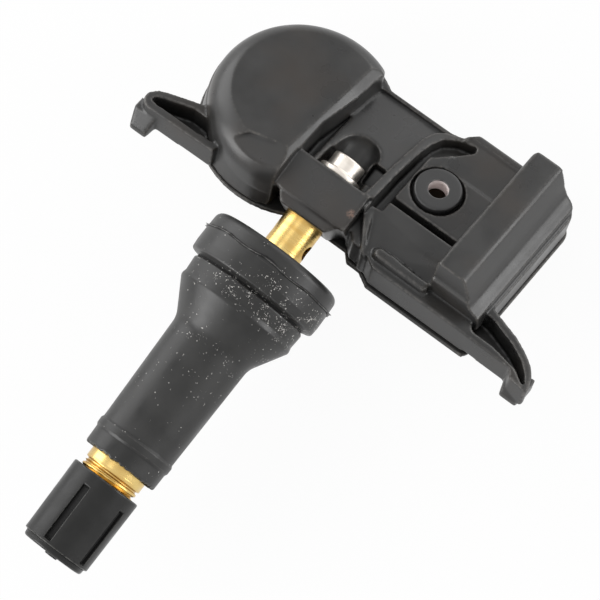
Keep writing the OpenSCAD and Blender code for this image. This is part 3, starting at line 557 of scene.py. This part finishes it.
def softCopy(node, name, s, shape=None):
    # a welded copy of a solid: even voxels, relaxed so that sharp edges become moulded fillets
    mesh = frame["nodes"][node].data.copy()
    mesh.transform(Matrix.Scale(1 / mm, 4))
    mesh.materials.clear()
    work = bmesh.new()
    work.from_mesh(mesh)
    bmesh.ops.remove_doubles(work, verts=work.verts, dist=meshForm["solidWeld"])
    work.to_mesh(mesh)
    work.free()
    piece = addPiece(name, mesh)
    remesh = piece.modifiers.new("even", "REMESH")
    remesh.mode = "VOXEL"
    remesh.voxel_size = s["voxel"]
    bake(piece)
    if shape:
        moved = shape(points(piece) * mm)   # the mesh is still in millimetres here
        piece.data.vertices.foreach_set("co", moved.ravel().astype(np.float32))
    relax = piece.modifiers.new("relax", "SMOOTH")
    relax.factor = meshForm["relaxFactor"]
    relax.iterations = s["relax"]
    bake(piece)
    thin = piece.modifiers.new("thin", "DECIMATE")
    thin.ratio = min(1.0, s["faces"] / (2 * len(piece.data.polygons)))
    bake(piece)
    piece.data.transform(Matrix.Scale(mm, 4))
    piece.data.shade_smooth()
    markEdges(piece, s["edgeRadius"])
    return piece


def bake(piece):
    # the modifiers' result becomes the mesh
    graph = bpy.context.evaluated_depsgraph_get()
    made = bpy.data.meshes.new_from_object(piece.evaluated_get(graph), depsgraph=graph)
    piece.modifiers.clear()
    old = piece.data
    piece.data = made
    bpy.data.meshes.remove(old)


remade = set()   # solids that a finished piece stands for


def dress(piece, material, body, node):
    # gives a piece its material and its body, hides the solid that it stands for and notes that solid as
    # remade
    piece.data.materials.clear()
    piece.data.materials.append(material)
    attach(piece, body)
    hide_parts(node)
    remade.add(node)


# Housing and its base

nylonLook = {
    "vary": 0.2, "fine": 5200.0, "wide": 170.0, "tint": (0.031, 0.026, 0.022), "specular": 0.42,
    # the recess colour is painted shade in creases; the edge colour is a painted highlight on edges
    "recessShade": (0.008, 0.008, 0.008), "grainDepth": 0.012,
    "edge": (0.085, 0.08, 0.074), "edgeFrom": (0.08, 0.4),
}
housingLook = dict(nylonLook, colour=(0.026, 0.0256, 0.025), rough=(0.26, 0.42), scuff=(0.2, 0.13, 0.1),
                   scuffAt=(4.8, 14.6, 3.64), scuffSize=0.75, scuffScale=3600.0, scuffFrom=(0.1, 0.6))
baseLook = dict(nylonLook, colour=(0.022, 0.022, 0.0215), rough=(0.4, 0.52))
housingShape = {"voxel": 0.15, "relax": 15, "faces": 190000, "edgeRadius": 0.6}
baseShape = {"voxel": 0.15, "relax": 3, "faces": 90000, "edgeRadius": 0.6}
rib = {"from": 10.55, "to": 17.3, "y": -2.4, "radius": 0.9, "foot": 1.6, "high": 0.5, "more": 0.65}


def raiseRib(p):
    # stretches the front ledge's rib upwards: share of its height, inside a slot round its middle line
    q = toHousing(p)
    beyond = np.maximum(np.maximum(rib["from"] - q[:, 0], q[:, 0] - rib["to"]), 0)
    near = np.hypot(beyond, q[:, 1] - rib["y"]) < rib["radius"]
    inside = near & (q[:, 2] < rib["foot"] + 2 * rib["high"])
    q[:, 2] += rib["more"] * np.clip((q[:, 2] - rib["foot"]) / rib["high"], 0, 1) * inside
    return fromHousing(q)


housingBody = softCopy("housing_shell", "housingBody", housingShape, raiseRib)
dress(housingBody, plasticMaterial("mouldedNylon", housingLook), "sensor", "housing_shell")
print("housing made:", len(housingBody.data.polygons), "faces")

baseLip = softCopy("base_cover", "baseLip", baseShape)
dress(baseLip, plasticMaterial("baseNylon", baseLook), "sensor", "base_cover")
print("base made:", len(baseLip.data.polygons), "faces")


# Rubber stem

stem = {
    "steps": 296, "bore": 2.69, "insert": 3.3, "insertFrom": 1.0, "collar": 3.99, "collarFrom": -24.8,
    "shoulder": 0.5, "flange": 9.3, "flangeTop": 5.6, "flangeRound": 2.2, "sideFrom": 1.2,
    "band": 8.275, "bandEnd": -3.4, "waist": 0.16, "undercut": 0.4, "undercutAt": -0.4,
    "coneEnd": -8.0, "coneRound": 3.2, "neck": 5.55, "tip": 5.15, "end": -26.8,
    "ring": -23.8, "ringHalf": 0.75, "ringTopHalf": 0.42, "ringHigh": 0.18,
    "flash": 3.35, "flashHalf": 0.32, "edgeRadius": 0.4,
}
mouldMarks = {   # mm, and for each ripple how many waves it sums and the slowest
    "seed": 11,
    "wander": 0.1, "wanderWaves": (9, 2),                 # the flash line's own path
    "flashOut": 0.2, "flashWide": 0.075, "flashVary": 0.55, "flashLeast": 0.02, "flashWaves": (40, 12),
    "nib": 0.32, "nibWide": 0.002,                        # width as a share of the sine
    "sideWave": 0.02, "sideWaves": (7, 2), "calmTo": 6.0, "calmFade": 2.0,
    "burr": 0.16, "burrAt": 6.95, "burrWide": 0.3, "burrDeep": 0.5, "burrRange": (0.1, 1.8),
    "burrWaves": (60, 20), "patchFrom": 0.1, "patchWaves": (6, 2),
    "trim": 0.09, "trimDeep": 0.5, "trimWaves": (46, 3),  # the uneven cut end
}
stemLook = {
    "colour": (0.022, 0.0218, 0.0212), "vary": 0.3, "rough": (0.32, 0.5), "fine": 4200.0, "wide": 210.0,
    # the recess colour is painted shade in creases; the edge colour is a painted highlight on edges
    "specular": 0.36, "recessShade": (0.004, 0.004, 0.004),
    "grainDepth": 0.016, "edge": (0.1, 0.097, 0.093), "edgeFrom": (0.2, 0.6),
    "dust": 0.5, "dustScale": 6200.0, "dustRadius": 0.36, "dustColour": (0.66, 0.64, 0.61),
}
stemDust = {   # each layer: thickness, place and reach along y, share on the left, power, least
    "across": 12.0, "most": 0.85,
    "flange": (0.8, 0.8, 1.5, 0.0, 2, 0.0),
    "band": (1.4, -1.6, 1.3, 0.12, 1, 0.0),
    "neck": (0.12, -10.5, 3.5, 0.3, 1, 0.03),
}


def stemProfile(s):
    # bore, buried insert, trimmed end, ring, slim part, cone, seat band, undercut and flange
    ringY, ringFoot, ringTop = s["ring"], s["ringHalf"], s["ringTopHalf"]
    slim = s["tip"] + (s["neck"] - s["tip"]) * (ringY - s["end"]) / (s["coneEnd"] - s["end"])
    return roundedProfile([
        (s["flangeTop"], s["bore"], 0, 0.5), (s["insertFrom"], s["bore"], 0, 0.5),
        (s["insertFrom"], s["insert"], 0, 1.5), (s["collarFrom"] + s["shoulder"], s["insert"], 0, 0.5),
        (s["collarFrom"], s["collar"], 0, 0.5), (s["end"], s["collar"], 0.08, 0.12),
        (s["end"], s["tip"], 0.28, 0.2), (ringY - ringFoot, slim - 0.02, 0.3, 0.1),
        (ringY - ringTop, slim + s["ringHigh"] - 0.02, 0.25, 0.1),
        (ringY + ringTop, slim + s["ringHigh"], 0.25, 0.1),
        (ringY + ringFoot, slim, 0.3, 0.3), (s["coneEnd"], s["neck"], s["coneRound"], 0.2),
        (s["bandEnd"], s["band"] + 0.02, 0.7, 0.12), (s["bandEnd"] + 0.75, s["band"] - s["waist"], 0.5, 0.12),
        (s["undercutAt"] - 0.35, s["band"] - 0.02, 0.3, 0.08),
        (s["undercutAt"], s["band"] - s["undercut"], 0.1, 0.08),
        (s["undercutAt"] + 0.28, s["band"] + 0.3, 0.15, 0.1), (0.0, s["flange"] - 0.12, 0.3, 0.1),
        (s["sideFrom"], s["flange"] - 0.02, 0.6, 0.07),
        (s["flash"] - s["flashHalf"], s["flange"] - 0.05, 0.1, 0.035),
        (s["flash"] + s["flashHalf"], s["flange"] - 0.08, 0.2, 0.1),
        (s["flangeTop"], s["flange"] - 0.15, s["flangeRound"], 0.12), (s["flangeTop"], s["bore"], 0, 0.1),
    ])[:-1]


def stemShape(y, r, a):
    # a wavy flash line with two nibs, a ragged top edge near the bore and an uneven trimmed end
    s, m = stem, mouldMarks
    line = s["flash"] + m["wander"] * ripple(a, m["seed"], *m["wanderWaves"])
    proud = m["flashOut"] * (1 + m["flashVary"] * ripple(a, m["seed"] + 1, *m["flashWaves"]))
    nib = m["nib"] * bell(np.abs(np.sin(a)), 1, m["nibWide"])
    out = bell(y, line, m["flashWide"]) * (r > s["band"]) * (np.clip(proud, m["flashLeast"], 1) + nib)
    side = np.clip((r - m["calmTo"]) / m["calmFade"], 0, 1)
    r = r + out + m["sideWave"] * ripple(a, m["seed"] + 2, *m["sideWaves"]) * side
    ragged = np.clip(ripple(a, m["seed"] + 3, *m["burrWaves"]), *m["burrRange"]) * m["burr"]
    topEdge = bell(r, m["burrAt"], m["burrWide"]) * (y > s["flangeTop"] - m["burrDeep"])
    patchy = np.clip(ripple(a, m["seed"] + 5, *m["patchWaves"]) - m["patchFrom"], 0, 1)
    y = y + topEdge * ragged * patchy
    atEnd = np.clip((s["end"] + m["trimDeep"] - y) / m["trimDeep"], 0, 1)
    y = y + atEnd * m["trim"] * ripple(a, m["seed"] + 4, *m["trimWaves"])
    return y, r


def settledDust(p, s):
    # the thickest layer at each point: a bell along y times more dust on the right than on the left
    rightward = np.clip(0.5 + p[:, 0] / s["across"], 0, 1)
    layers = [thick * bell(p[:, 1], y, reach) * (left + rightward ** power) + least
              for thick, y, reach, left, power, least in (s["flange"], s["band"], s["neck"])]
    return np.clip(np.max(layers, 0), 0, s["most"])


rubberStem = gridPiece("rubberStem", revolve(stemProfile(stem), stem["steps"], stemShape), wrapRows=True)
markEdges(rubberStem, stem["edgeRadius"])
putAttribute(rubberStem, "dust", settledDust(points(rubberStem), stemDust))
dress(rubberStem, plasticMaterial("stemRubber", stemLook), "sensor", "rubber_stem")
print("rubber stem made:", len(rubberStem.data.polygons), "faces")


# Brass insert with its thread

insert = {
    "steps": 168, "shank": 2.675, "shankEnd": 14.2, "buried": 3.29, "buriedFrom": 1.0, "collar": 3.975,
    "collarFrom": -24.8, "collarEnd": -28.2, "shoulder": 0.6, "thread": 3.875, "threadEnd": -38.3,
    "pitch": 0.794, "depth": 0.42, "fade": 0.35, "chamfer": 0.5, "relief": 0.28, "reliefLong": 0.4,
    "reliefSide": 0.1, "head": 2.62, "headTo": -33.6, "seat": 2.1, "seatTo": -32.4, "airTo": -22.4,
    "duct": 1.4, "ductTo": 9.1, "tap": 1.7, "holeY": 7.8, "hole": 1.025, "drillHalf": 4.0, "drillSteps": 48,
    "edgeRadius": 0.16,
}
# the recess colour is painted shade in the brass's creases
brassLook = {"colour": (0.75, 0.56, 0.22), "deep": (0.58, 0.36, 0.1), "rough": (0.2, 0.34), "lines": 5200.0,
             "fine": 3000.0, "wide": 260.0, "depth": 0.03, "recessShade": (0.4, 0.22, 0.05)}


def insertProfile(s):
    # once round the section: tap, duct, air bore and head inside, thread, collar and shank outside
    root = s["thread"] - s["relief"]
    return roundedProfile([
        (s["shankEnd"], s["tap"], 0, 1.0), (s["ductTo"], s["tap"], 0, 0.5), (s["ductTo"], s["duct"], 0, 2.0),
        (s["airTo"], s["duct"], 0, 0.5), (s["airTo"], s["seat"], 0, 1.5), (s["seatTo"], s["seat"], 0, 0.5),
        (s["headTo"], s["head"], 0, 0.8), (s["threadEnd"], s["head"], 0.12, 0.3),
        (s["threadEnd"], s["thread"] - s["chamfer"], 0.1, 0.05),
        (s["threadEnd"] + s["chamfer"], s["thread"], 0, 0.05),
        (s["collarEnd"] - s["reliefLong"], s["thread"], 0, 0.06),
        (s["collarEnd"] - s["reliefLong"] + s["reliefSide"], root, 0.05, 0.06),
        (s["collarEnd"] - s["reliefSide"], root, 0.05, 0.06), (s["collarEnd"], s["collar"], 0.16, 0.3),
        (s["collarFrom"], s["collar"], 0.1, 0.4), (s["collarFrom"] + s["shoulder"], s["buried"], 0, 1.5),
        (s["buriedFrom"], s["buried"], 0, 0.4), (s["buriedFrom"], s["shank"], 0, 0.5),
        (s["shankEnd"], s["shank"], 0.2, 0.3), (s["shankEnd"], s["tap"], 0, 0.3),
    ])[:-1]


def insertShape(y, r, a):
    # cuts the helix into the rows between the end's chamfer and the relief under the collar
    s = insert
    low, high = s["threadEnd"] + 0.02, s["collarEnd"] - s["reliefLong"] + 0.04
    inThread = (y > low) & (y < high) & (r > s["thread"] - s["chamfer"] - 0.05)
    fade = np.clip((high - y) / s["fade"], 0, 1)
    cut = threadRadius(y, a, s["thread"], s["depth"] * fade, s["pitch"])
    return y, np.where(inThread, np.minimum(r, cut), r)


def drillAcross(piece, s):
    # a round bar along x, cut out of the piece
    steps, half, y = s["drillSteps"], s["drillHalf"], s["holeY"]
    a = np.arange(steps) * turn / steps
    rows = np.array((-half, half))[:, None]
    ring = np.stack(np.broadcast_arrays(rows, y + s["hole"] * np.sin(a), s["hole"] * np.cos(a)), -1)
    ends = [np.broadcast_to(np.array((x, y, 0.0)), (1, steps, 3)) for x in (-half, half)]
    tool = gridPiece("drill", np.concatenate((ends[0], ring, ends[1])))
    cut = piece.modifiers.new("cut", "BOOLEAN")
    cut.object = tool
    cut.solver = "EXACT"
    bake(piece)
    bpy.data.objects.remove(tool)


brassInsert = gridPiece("brassInsert", revolve(insertProfile(insert), insert["steps"], insertShape),
                        wrapRows=True)
drillAcross(brassInsert, insert)
brassInsert.data.set_sharp_from_angle(angle=np.radians(meshForm["metalCrease"]))
markEdges(brassInsert, insert["edgeRadius"])
dress(brassInsert, metalMaterial("turnedBrass", brassLook), "sensor", "stem_insert")
print("brass insert made:", len(brassInsert.data.polygons), "faces")


# Clamp screw

screw = {
    "steps": 96, "seat": 17.7, "flange": 2.95, "flangeTop": 18.4, "head": 2.25, "top": 20.45,
    "drive": 1.1, "driveDeep": 1.5, "driveCone": 0.3, "sides": 6, "shank": 1.69, "shankLong": 8.2,
    "tipLong": 0.3, "tipIn": 0.35, "plain": 0.4, "pitch": 0.7, "depth": 0.3,
}
screwLook = {"colour": (0.86, 0.81, 0.75), "deep": (0.62, 0.57, 0.51), "rough": (0.34, 0.46), "lines": 4200.0,
             "fine": 3600.0, "wide": 300.0, "depth": 0.006}


def screwProfile(s):
    # recess, head, flange and threaded shank from the drive's floor to the tip
    floor = s["top"] - s["driveDeep"]
    tip = s["seat"] - s["shankLong"]
    return roundedProfile([
        (floor - s["driveCone"], 0, 0, 0.4), (floor, s["drive"], 0, 0.3), (s["top"], s["drive"], 0.1, 0.3),
        (s["top"], s["head"], 0.3, 0.2), (s["flangeTop"] + 0.12, s["head"], 0.18, 0.2),
        (s["flangeTop"], s["flange"], 0.2, 0.2), (s["seat"], s["flange"], 0.12, 0.4),
        (s["seat"], s["shank"], 0.1, 0.06), (tip + s["tipLong"], s["shank"], 0, 0.1),
        (tip, s["shank"] - s["tipIn"], 0, 0.4), (tip, 0, 0, 0.4),
    ])


def screwShape(y, r, a):
    # the drive is a hexagon: its radius is half its width over the cosine from the nearest flat
    s = screw
    inDrive = (y > s["top"] - s["driveDeep"] - s["driveCone"] - 0.1) & (r < s["drive"] + 0.02)
    side = turn / s["sides"]
    flat = (a + side / 2) % side - side / 2
    r = np.where(inDrive, r / np.cos(flat), r)
    inThread = (y < s["seat"] - s["plain"]) & (r > s["shank"] - 0.05)
    return y, np.where(inThread, threadRadius(y, a, s["shank"], s["depth"], s["pitch"]), r)


clampScrew = gridPiece("clampScrew", revolve(screwProfile(screw), screw["steps"], screwShape))
clampScrew.data.set_sharp_from_angle(angle=np.radians(meshForm["metalCrease"]))
dress(clampScrew, metalMaterial("brightNickel", screwLook), "sensor", "clamp_screw")
print("clamp screw made")


# Pressure port: ring disc, pale sleeve and vent

port = {
    "steps": 128, "tubeSteps": 72, "centre": (10.9, 9.4), "disc": 3.075, "hole": 1.31, "top": 3.45,
    "floor": 1.8, "lip": 0.2, "neckDeep": 2.7, "neckWall": 0.5, "sleeve": 1.71, "sleeveTop": 3.25,
    "sleeveFoot": -0.9, "ventTop": 1.45, "ventFoot": 0.6, "ventGap": 0.01, "edgeRadius": 0.3,
}
# the edge colour is a painted highlight on edges
discLook = {"colour": (0.026, 0.026, 0.0262), "vary": 0.06, "rough": (0.3, 0.4), "fine": 5200.0,
            "wide": 300.0, "grainDepth": 0.008, "edge": (0.16, 0.155, 0.15), "edgeFrom": (0.2, 0.6)}
sleeveLook = {"colour": (0.88, 0.79, 0.77), "vary": 0.1, "rough": (0.35, 0.5), "fine": 5000.0, "wide": 500.0,
              "grainDepth": 0.01}
ventLook = {"colour": (0.012, 0.008, 0.005), "vary": 0.3, "specular": 0.1, "rough": (0.8, 0.95),
            "fine": 2600.0, "wide": 1200.0, "grainDepth": 0.05}


def portProfiles(s):
    # three sections about the port's own axis: y is its height there
    neck, neckFoot = s["sleeve"] + s["neckWall"], s["floor"] - s["neckDeep"]
    lipFoot, ventWide = s["top"] - s["lip"], s["hole"] - s["ventGap"]
    disc = roundedProfile([
        (neckFoot, s["sleeve"], 0, 0.8), (lipFoot, s["sleeve"], 0, 0.2), (lipFoot, s["hole"], 0.05, 0.1),
        (s["top"], s["hole"], 0.08, 0.2), (s["top"], s["disc"], 0.3, 0.3), (s["floor"], s["disc"], 0.15, 0.3),
        (s["floor"], neck, 0.1, 0.8), (neckFoot, neck, 0, 0.3), (neckFoot, s["sleeve"], 0, 0.3)])[:-1]
    sleeve = roundedProfile([
        (s["sleeveFoot"], s["hole"], 0, 0.5), (s["sleeveTop"], s["hole"], 0.12, 0.2),
        (s["sleeveTop"], s["sleeve"], 0.05, 0.5), (s["sleeveFoot"], s["sleeve"], 0, 0.3),
        (s["sleeveFoot"], s["hole"], 0, 0.3)])[:-1]
    vent = roundedProfile([(s["ventFoot"], 0, 0, 0.3), (s["ventFoot"], ventWide, 0, 0.3),
                           (s["ventTop"], ventWide, 0.1, 0.12), (s["ventTop"], 0, 0, 0.1)])
    return disc, sleeve, vent


disc, sleeve, vent = portProfiles(port)
portDisc = gridPiece("portDisc", upright(revolve(disc, port["steps"]), port["centre"]), wrapRows=True)
markEdges(portDisc, port["edgeRadius"])
portSleeve = gridPiece("portSleeve", upright(revolve(sleeve, port["tubeSteps"]), port["centre"]),
                       wrapRows=True)
portVent = gridPiece("portVent", upright(revolve(vent, port["tubeSteps"]), port["centre"]))
smoothSilicone = plasticMaterial("smoothSilicone", discLook)
dress(portDisc, smoothSilicone, "sensor", "port_seal")
dress(portSleeve, plasticMaterial("paleTube", sleeveLook), "sensor", "port_sleeve")
dress(portVent, plasticMaterial("ventFelt", ventLook), "sensor", "port_vent")
print("port made")


# Cap

cap = {
    "steps": 400, "bore": 3.945, "inner": -38.9, "mouth": -29.4, "mouthR": 4.775, "leadDeep": 0.3,
    "leadWide": 0.25, "foot": -39.6, "footR": 4.65, "small": 4.3, "end": -40.45, "stub": 0.9,
    "stubEnd": -40.75, "grooves": 5, "grooveAt": -8.0, "grooveWide": 0.95, "grooveDeep": 0.44,
    "grooveStop": 0.35, "smooth": 1.75,
    "wallFrom": 1.1, "wallWide": 0.14,       # a groove's sides, in half widths
    "startFade": 0.25, "endFade": 0.2, "pitch": 0.794, "threadDeep": 0.2, "edgeRadius": 0.3,
}
# the edge colour is a painted highlight on edges; the recess colour is painted shade in the grooves and
# creases
capLook = {"colour": (0.012, 0.012, 0.0116), "vary": 0.16, "rough": (0.28, 0.44), "fine": 4600.0,
           "wide": 240.0, "grainDepth": 0.012, "edge": (0.11, 0.107, 0.1), "edgeFrom": (0.16, 0.5),
           "specular": 0.3, "recessShade": (0.002, 0.002, 0.002)}


def capProfile(s):
    # from the middle of the blind bore, out over the mouth and down to the moulding stub
    return roundedProfile([
        (s["inner"], 0, 0, 0.6), (s["inner"], s["bore"], 0.1, 0.09),
        (s["mouth"] - s["leadDeep"], s["bore"], 0, 0.1),
        (s["mouth"], s["bore"] + s["leadWide"], 0.08, 0.2), (s["mouth"], s["mouthR"], 0.22, 0.12),
        (s["foot"], s["footR"], 0.12, 0.1), (s["foot"] - 0.1, s["small"], 0.1, 0.12),
        (s["end"], s["small"] - 0.05, 0.35, 0.3), (s["end"], s["stub"], 0.08, 0.1),
        (s["stubEnd"], s["stub"] - 0.05, 0.1, 0.2), (s["stubEnd"], 0, 0, 0.3),
    ])


def capShape(y, r, a):
    # straight grooves sunk into the outside, an inner thread sunk into the bore
    s = cap
    between = turn / s["grooves"]
    off = (a - np.radians(s["grooveAt"]) + between / 2) % between - between / 2
    across = np.abs(off) * s["mouthR"] / (s["grooveWide"] / 2)
    deep = np.clip((s["wallFrom"] - across) / s["wallWide"], 0, 1) * s["grooveDeep"]
    starts = np.clip((s["mouth"] - s["smooth"] - y) / s["startFade"], 0, 1)
    ends = np.clip((y - s["foot"] - s["grooveStop"]) / s["endFade"], 0, 1)
    outside = (r > s["small"] - 0.2) & (y < s["mouth"] - s["leadDeep"] - 0.1)
    r = np.where(outside, r - deep * starts * ends, r)
    inBore = (np.abs(r - s["bore"]) < 0.03) & (y > s["inner"] + 0.3) & (y < s["mouth"] - s["leadDeep"] - 0.05)
    cut = threadRadius(y, a, s["bore"] + s["threadDeep"], s["threadDeep"], s["pitch"])
    return y, np.where(inBore, cut, r)


def capGrooveShade(p, s):
    # how far each point of the fluted stretch lies inside the foot's radius, in groove depths, used as
    # painted shade in the grooves
    radius = np.hypot(p[:, 0], p[:, 2])
    fluted = (p[:, 1] > s["foot"] + 0.1) & (p[:, 1] < s["mouth"] - s["smooth"]) & (radius > s["bore"] + 0.2)
    return np.clip((s["footR"] - radius) / s["grooveDeep"], 0, 1) * fluted


valveCap = gridPiece("valveCap", revolve(capProfile(cap), cap["steps"], capShape))
markEdges(valveCap, cap["edgeRadius"])
# painted shade: the grooves' depth joins the inward bends in the recess attribute
paintedShade = np.maximum(attributeOf(valveCap, "recessShade"), capGrooveShade(points(valveCap), cap))
putAttribute(valveCap, "recessShade", paintedShade)
dress(valveCap, plasticMaterial("capPlastic", capLook), "cap", "valve_cap")
print("cap made:", len(valveCap.data.polygons), "faces")


# Valve spring

spring = {"coil": 0.82, "wire": 0.13, "from": -32.6, "to": -26.8, "turns": 9.0, "closed": 1.0,
          "perTurn": 28, "round": 10}
springLook = {"colour": (0.72, 0.72, 0.71), "deep": (0.5, 0.5, 0.49), "rough": (0.25, 0.4), "lines": 9000.0,
              "fine": 4000.0, "wide": 500.0, "depth": 0.003}


def helix(s):
    # the wire's centre turns about y and climbs, slowly in the closed end turns; a circle is carried along it
    t = np.linspace(0, s["turns"], int(s["turns"] * s["perTurn"]) + 1)
    ramp = np.clip((t - s["closed"]) / (s["turns"] - 2 * s["closed"]), 0, 1)
    flat = 2 * s["wire"]
    lift = s["to"] - s["from"] - 4 * s["wire"] - flat
    climb = np.minimum(t, s["closed"]) * flat / 2 + ramp * lift
    climb = climb + np.clip(t - s["turns"] + s["closed"], 0, None) * flat / 2
    a = t * turn
    out = np.stack((np.sin(a), np.zeros_like(a), np.cos(a)), -1)
    centre = out * s["coil"]
    centre[:, 1] = s["from"] + s["wire"] + climb * (s["to"] - s["from"] - 2 * s["wire"]) / climb[-1]
    b = np.arange(s["round"]) * turn / s["round"]
    size = np.full(len(t), s["wire"])
    size[[0, -1]] = 0
    up = np.array((0.0, 1.0, 0.0))
    ring = np.cos(b)[None, :, None] * out[:, None] + np.sin(b)[None, :, None] * up
    return centre[:, None] + ring * size[:, None, None]


coreCoil = gridPiece("coreCoil", helix(spring))
dress(coreCoil, metalMaterial("springWire", springLook), "sensor", "core_spring")
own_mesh(coreCoil)
print("spring made")


# Carried-over pieces and their finishes

boardLook = {"colour": (0.02, 0.12, 0.045), "vary": 0.15, "rough": (0.2, 0.32), "fine": 2500.0, "wide": 900.0,
             "grainDepth": 0.01}
chipLook = {"colour": (0.02, 0.02, 0.021), "vary": 0.1, "rough": (0.5, 0.65), "fine": 6000.0, "wide": 700.0,
            "grainDepth": 0.012}
ferriteLook = dict(chipLook, colour=(0.05, 0.046, 0.045), rough=(0.55, 0.7))
ceramicLook = {"colour": (0.42, 0.31, 0.19), "vary": 0.12, "rough": (0.4, 0.55), "fine": 5000.0,
               "wide": 800.0, "grainDepth": 0.01}
gasketLook = {"colour": (0.42, 0.03, 0.025), "vary": 0.12, "rough": (0.4, 0.55), "fine": 4500.0,
              "wide": 500.0, "grainDepth": 0.01}
linerLook = {"colour": (0.05, 0.046, 0.042), "vary": 0.15, "rough": (0.55, 0.7), "fine": 4200.0,
             "wide": 400.0, "grainDepth": 0.02}
cellLook = {"colour": (0.78, 0.77, 0.74), "deep": (0.58, 0.57, 0.54), "rough": (0.24, 0.36), "lines": 2600.0,
            "fine": 3200.0, "wide": 240.0, "depth": 0.004}
tabLook = dict(cellLook, colour=(0.8, 0.76, 0.68), deep=(0.6, 0.56, 0.48))
copperLook = {"colour": (0.86, 0.5, 0.26), "deep": (0.6, 0.28, 0.12), "rough": (0.22, 0.36), "lines": 12000.0,
              "fine": 4000.0, "wide": 500.0, "depth": 0.02}
coreLook = {"colour": (0.86, 0.68, 0.34), "deep": (0.58, 0.36, 0.1), "rough": (0.2, 0.34), "lines": 5200.0,
            "fine": 3000.0, "wide": 260.0, "depth": 0.03}

finishes = {
    "board_green": plasticMaterial("solderMask", boardLook),
    "chip_black": plasticMaterial("mouldedEpoxy", chipLook),
    "ferrite": plasticMaterial("sinteredFerrite", ferriteLook),
    "ceramic_tan": plasticMaterial("tanCeramic", ceramicLook),
    "gasket_red": plasticMaterial("redSeal", gasketLook),
    "liner_rubber": plasticMaterial("linerRubber", linerLook),
    "seal_rubber": smoothSilicone,
    "cell_steel": metalMaterial("cellCan", cellLook),
    "tab_nickel": metalMaterial("nickelStrip", tabLook),
    "copper_wire": metalMaterial("enamelledCopper", copperLook),
    "core_brass": metalMaterial("coreBrass", coreLook),
}
for part in frame["record"]["subparts"]:
    if part["node"] not in remade:
        carried = frame["nodes"][part["node"]].data
        carried.materials.clear()
        carried.materials.append(finishes[part["material_slot"]])
print("inner pieces finished")


# Floor, background and lamps

studio = {"floorGap": 0.6, "floorSize": 3000.0, "floorShade": 0.9, "floorRough": 0.9, "whiteShare": 0.945,
          "ambient": 0.38, "aim": (4.0, 4.0, 0.0)}
lamps = {   # place in mm, size in mm, radiance
    "left": ((-420.0, 90.0, 150.0), 400.0, 2.7),
    "right": ((390.0, 200.0, 90.0), 300.0, 5.0),
    "rear": ((40.0, 430.0, 90.0), 260.0, 2.0),
    "front": ((-270.0, -340.0, 180.0), 300.0, 6.0),
    "over": ((-90.0, 30.0, 440.0), 150.0, 1.0),
}
white = (1.0, 1.0, 1.0, 1.0)


def seenDirectly(tree):
    # one for rays from the camera, from gloss and through glass
    path = add(tree, "ShaderNodeLightPath").outputs
    some = calc(tree, "ADD", path["Is Camera Ray"], path["Is Glossy Ray"])
    return calc(tree, "MINIMUM", calc(tree, "ADD", some, path["Is Transmission Ray"]), 1.0)


def makeFloor(s):
    # a square just below the part, which shows mostly white and still takes its shadow
    half, low = s["floorSize"] / 2, cadBox[0][2] / mm - s["floorGap"]
    corners = np.array(((-half, -half, low), (half, -half, low), (half, half, low), (-half, half, low))) * mm
    mesh = bpy.data.meshes.new("floor")
    mesh.from_pydata(corners.tolist(), [], [(0, 1, 2, 3)])
    made, tree, put = startMaterial("paleFloor", {"Roughness": s["floorRough"], "Specular IOR Level": 0.0})
    put["Base Color"].default_value = colour((s["floorShade"],) * 3)
    glow = add(tree, "ShaderNodeEmission", {"Color": white, "Strength": 1.0}).outputs[0]
    share = calc(tree, "MULTIPLY", seenDirectly(tree), s["whiteShare"])
    mix = add(tree, "ShaderNodeMixShader", {0: share, 1: tree.nodes["Principled BSDF"].outputs[0], 2: glow})
    tree.links.new(mix.outputs[0], tree.nodes["Material Output"].inputs["Surface"])
    mesh.materials.append(made)
    addPiece("floor", mesh)


def makeWorld(s):
    # dim even light on the object, full white where it is seen directly
    world = bpy.data.worlds.new("studio")
    bpy.context.scene.world = world
    world.use_nodes = True
    tree = world.node_tree
    soft = tree.nodes["Background"]
    soft.inputs[0].default_value = white
    soft.inputs[1].default_value = s["ambient"]
    bright = add(tree, "ShaderNodeBackground", {0: white, 1: 1.0}).outputs[0]
    mix = add(tree, "ShaderNodeMixShader", {0: seenDirectly(tree), 1: soft.outputs[0], 2: bright})
    tree.links.new(mix.outputs[0], tree.nodes["World Output"].inputs["Surface"])


def makeLamp(name, where, size, radiance):
    # power of a square lamp = radiance times pi times its area
    light = bpy.data.lights.new(name, "AREA")
    light.size = size * mm
    light.energy = radiance * np.pi * (size * mm) ** 2
    lamp = bpy.data.objects.new(name, light)
    bpy.context.collection.objects.link(lamp)
    lamp.location = Vector(where) * mm
    away = lamp.location - Vector(studio["aim"]) * mm
    lamp.rotation_euler = away.to_track_quat("Z", "Y").to_euler()


makeFloor(studio)
makeWorld(studio)
for name, (where, size, radiance) in lamps.items():
    makeLamp(name, where, size, radiance)
bpy.context.scene.view_settings.view_transform = "Standard"
print("studio lit")
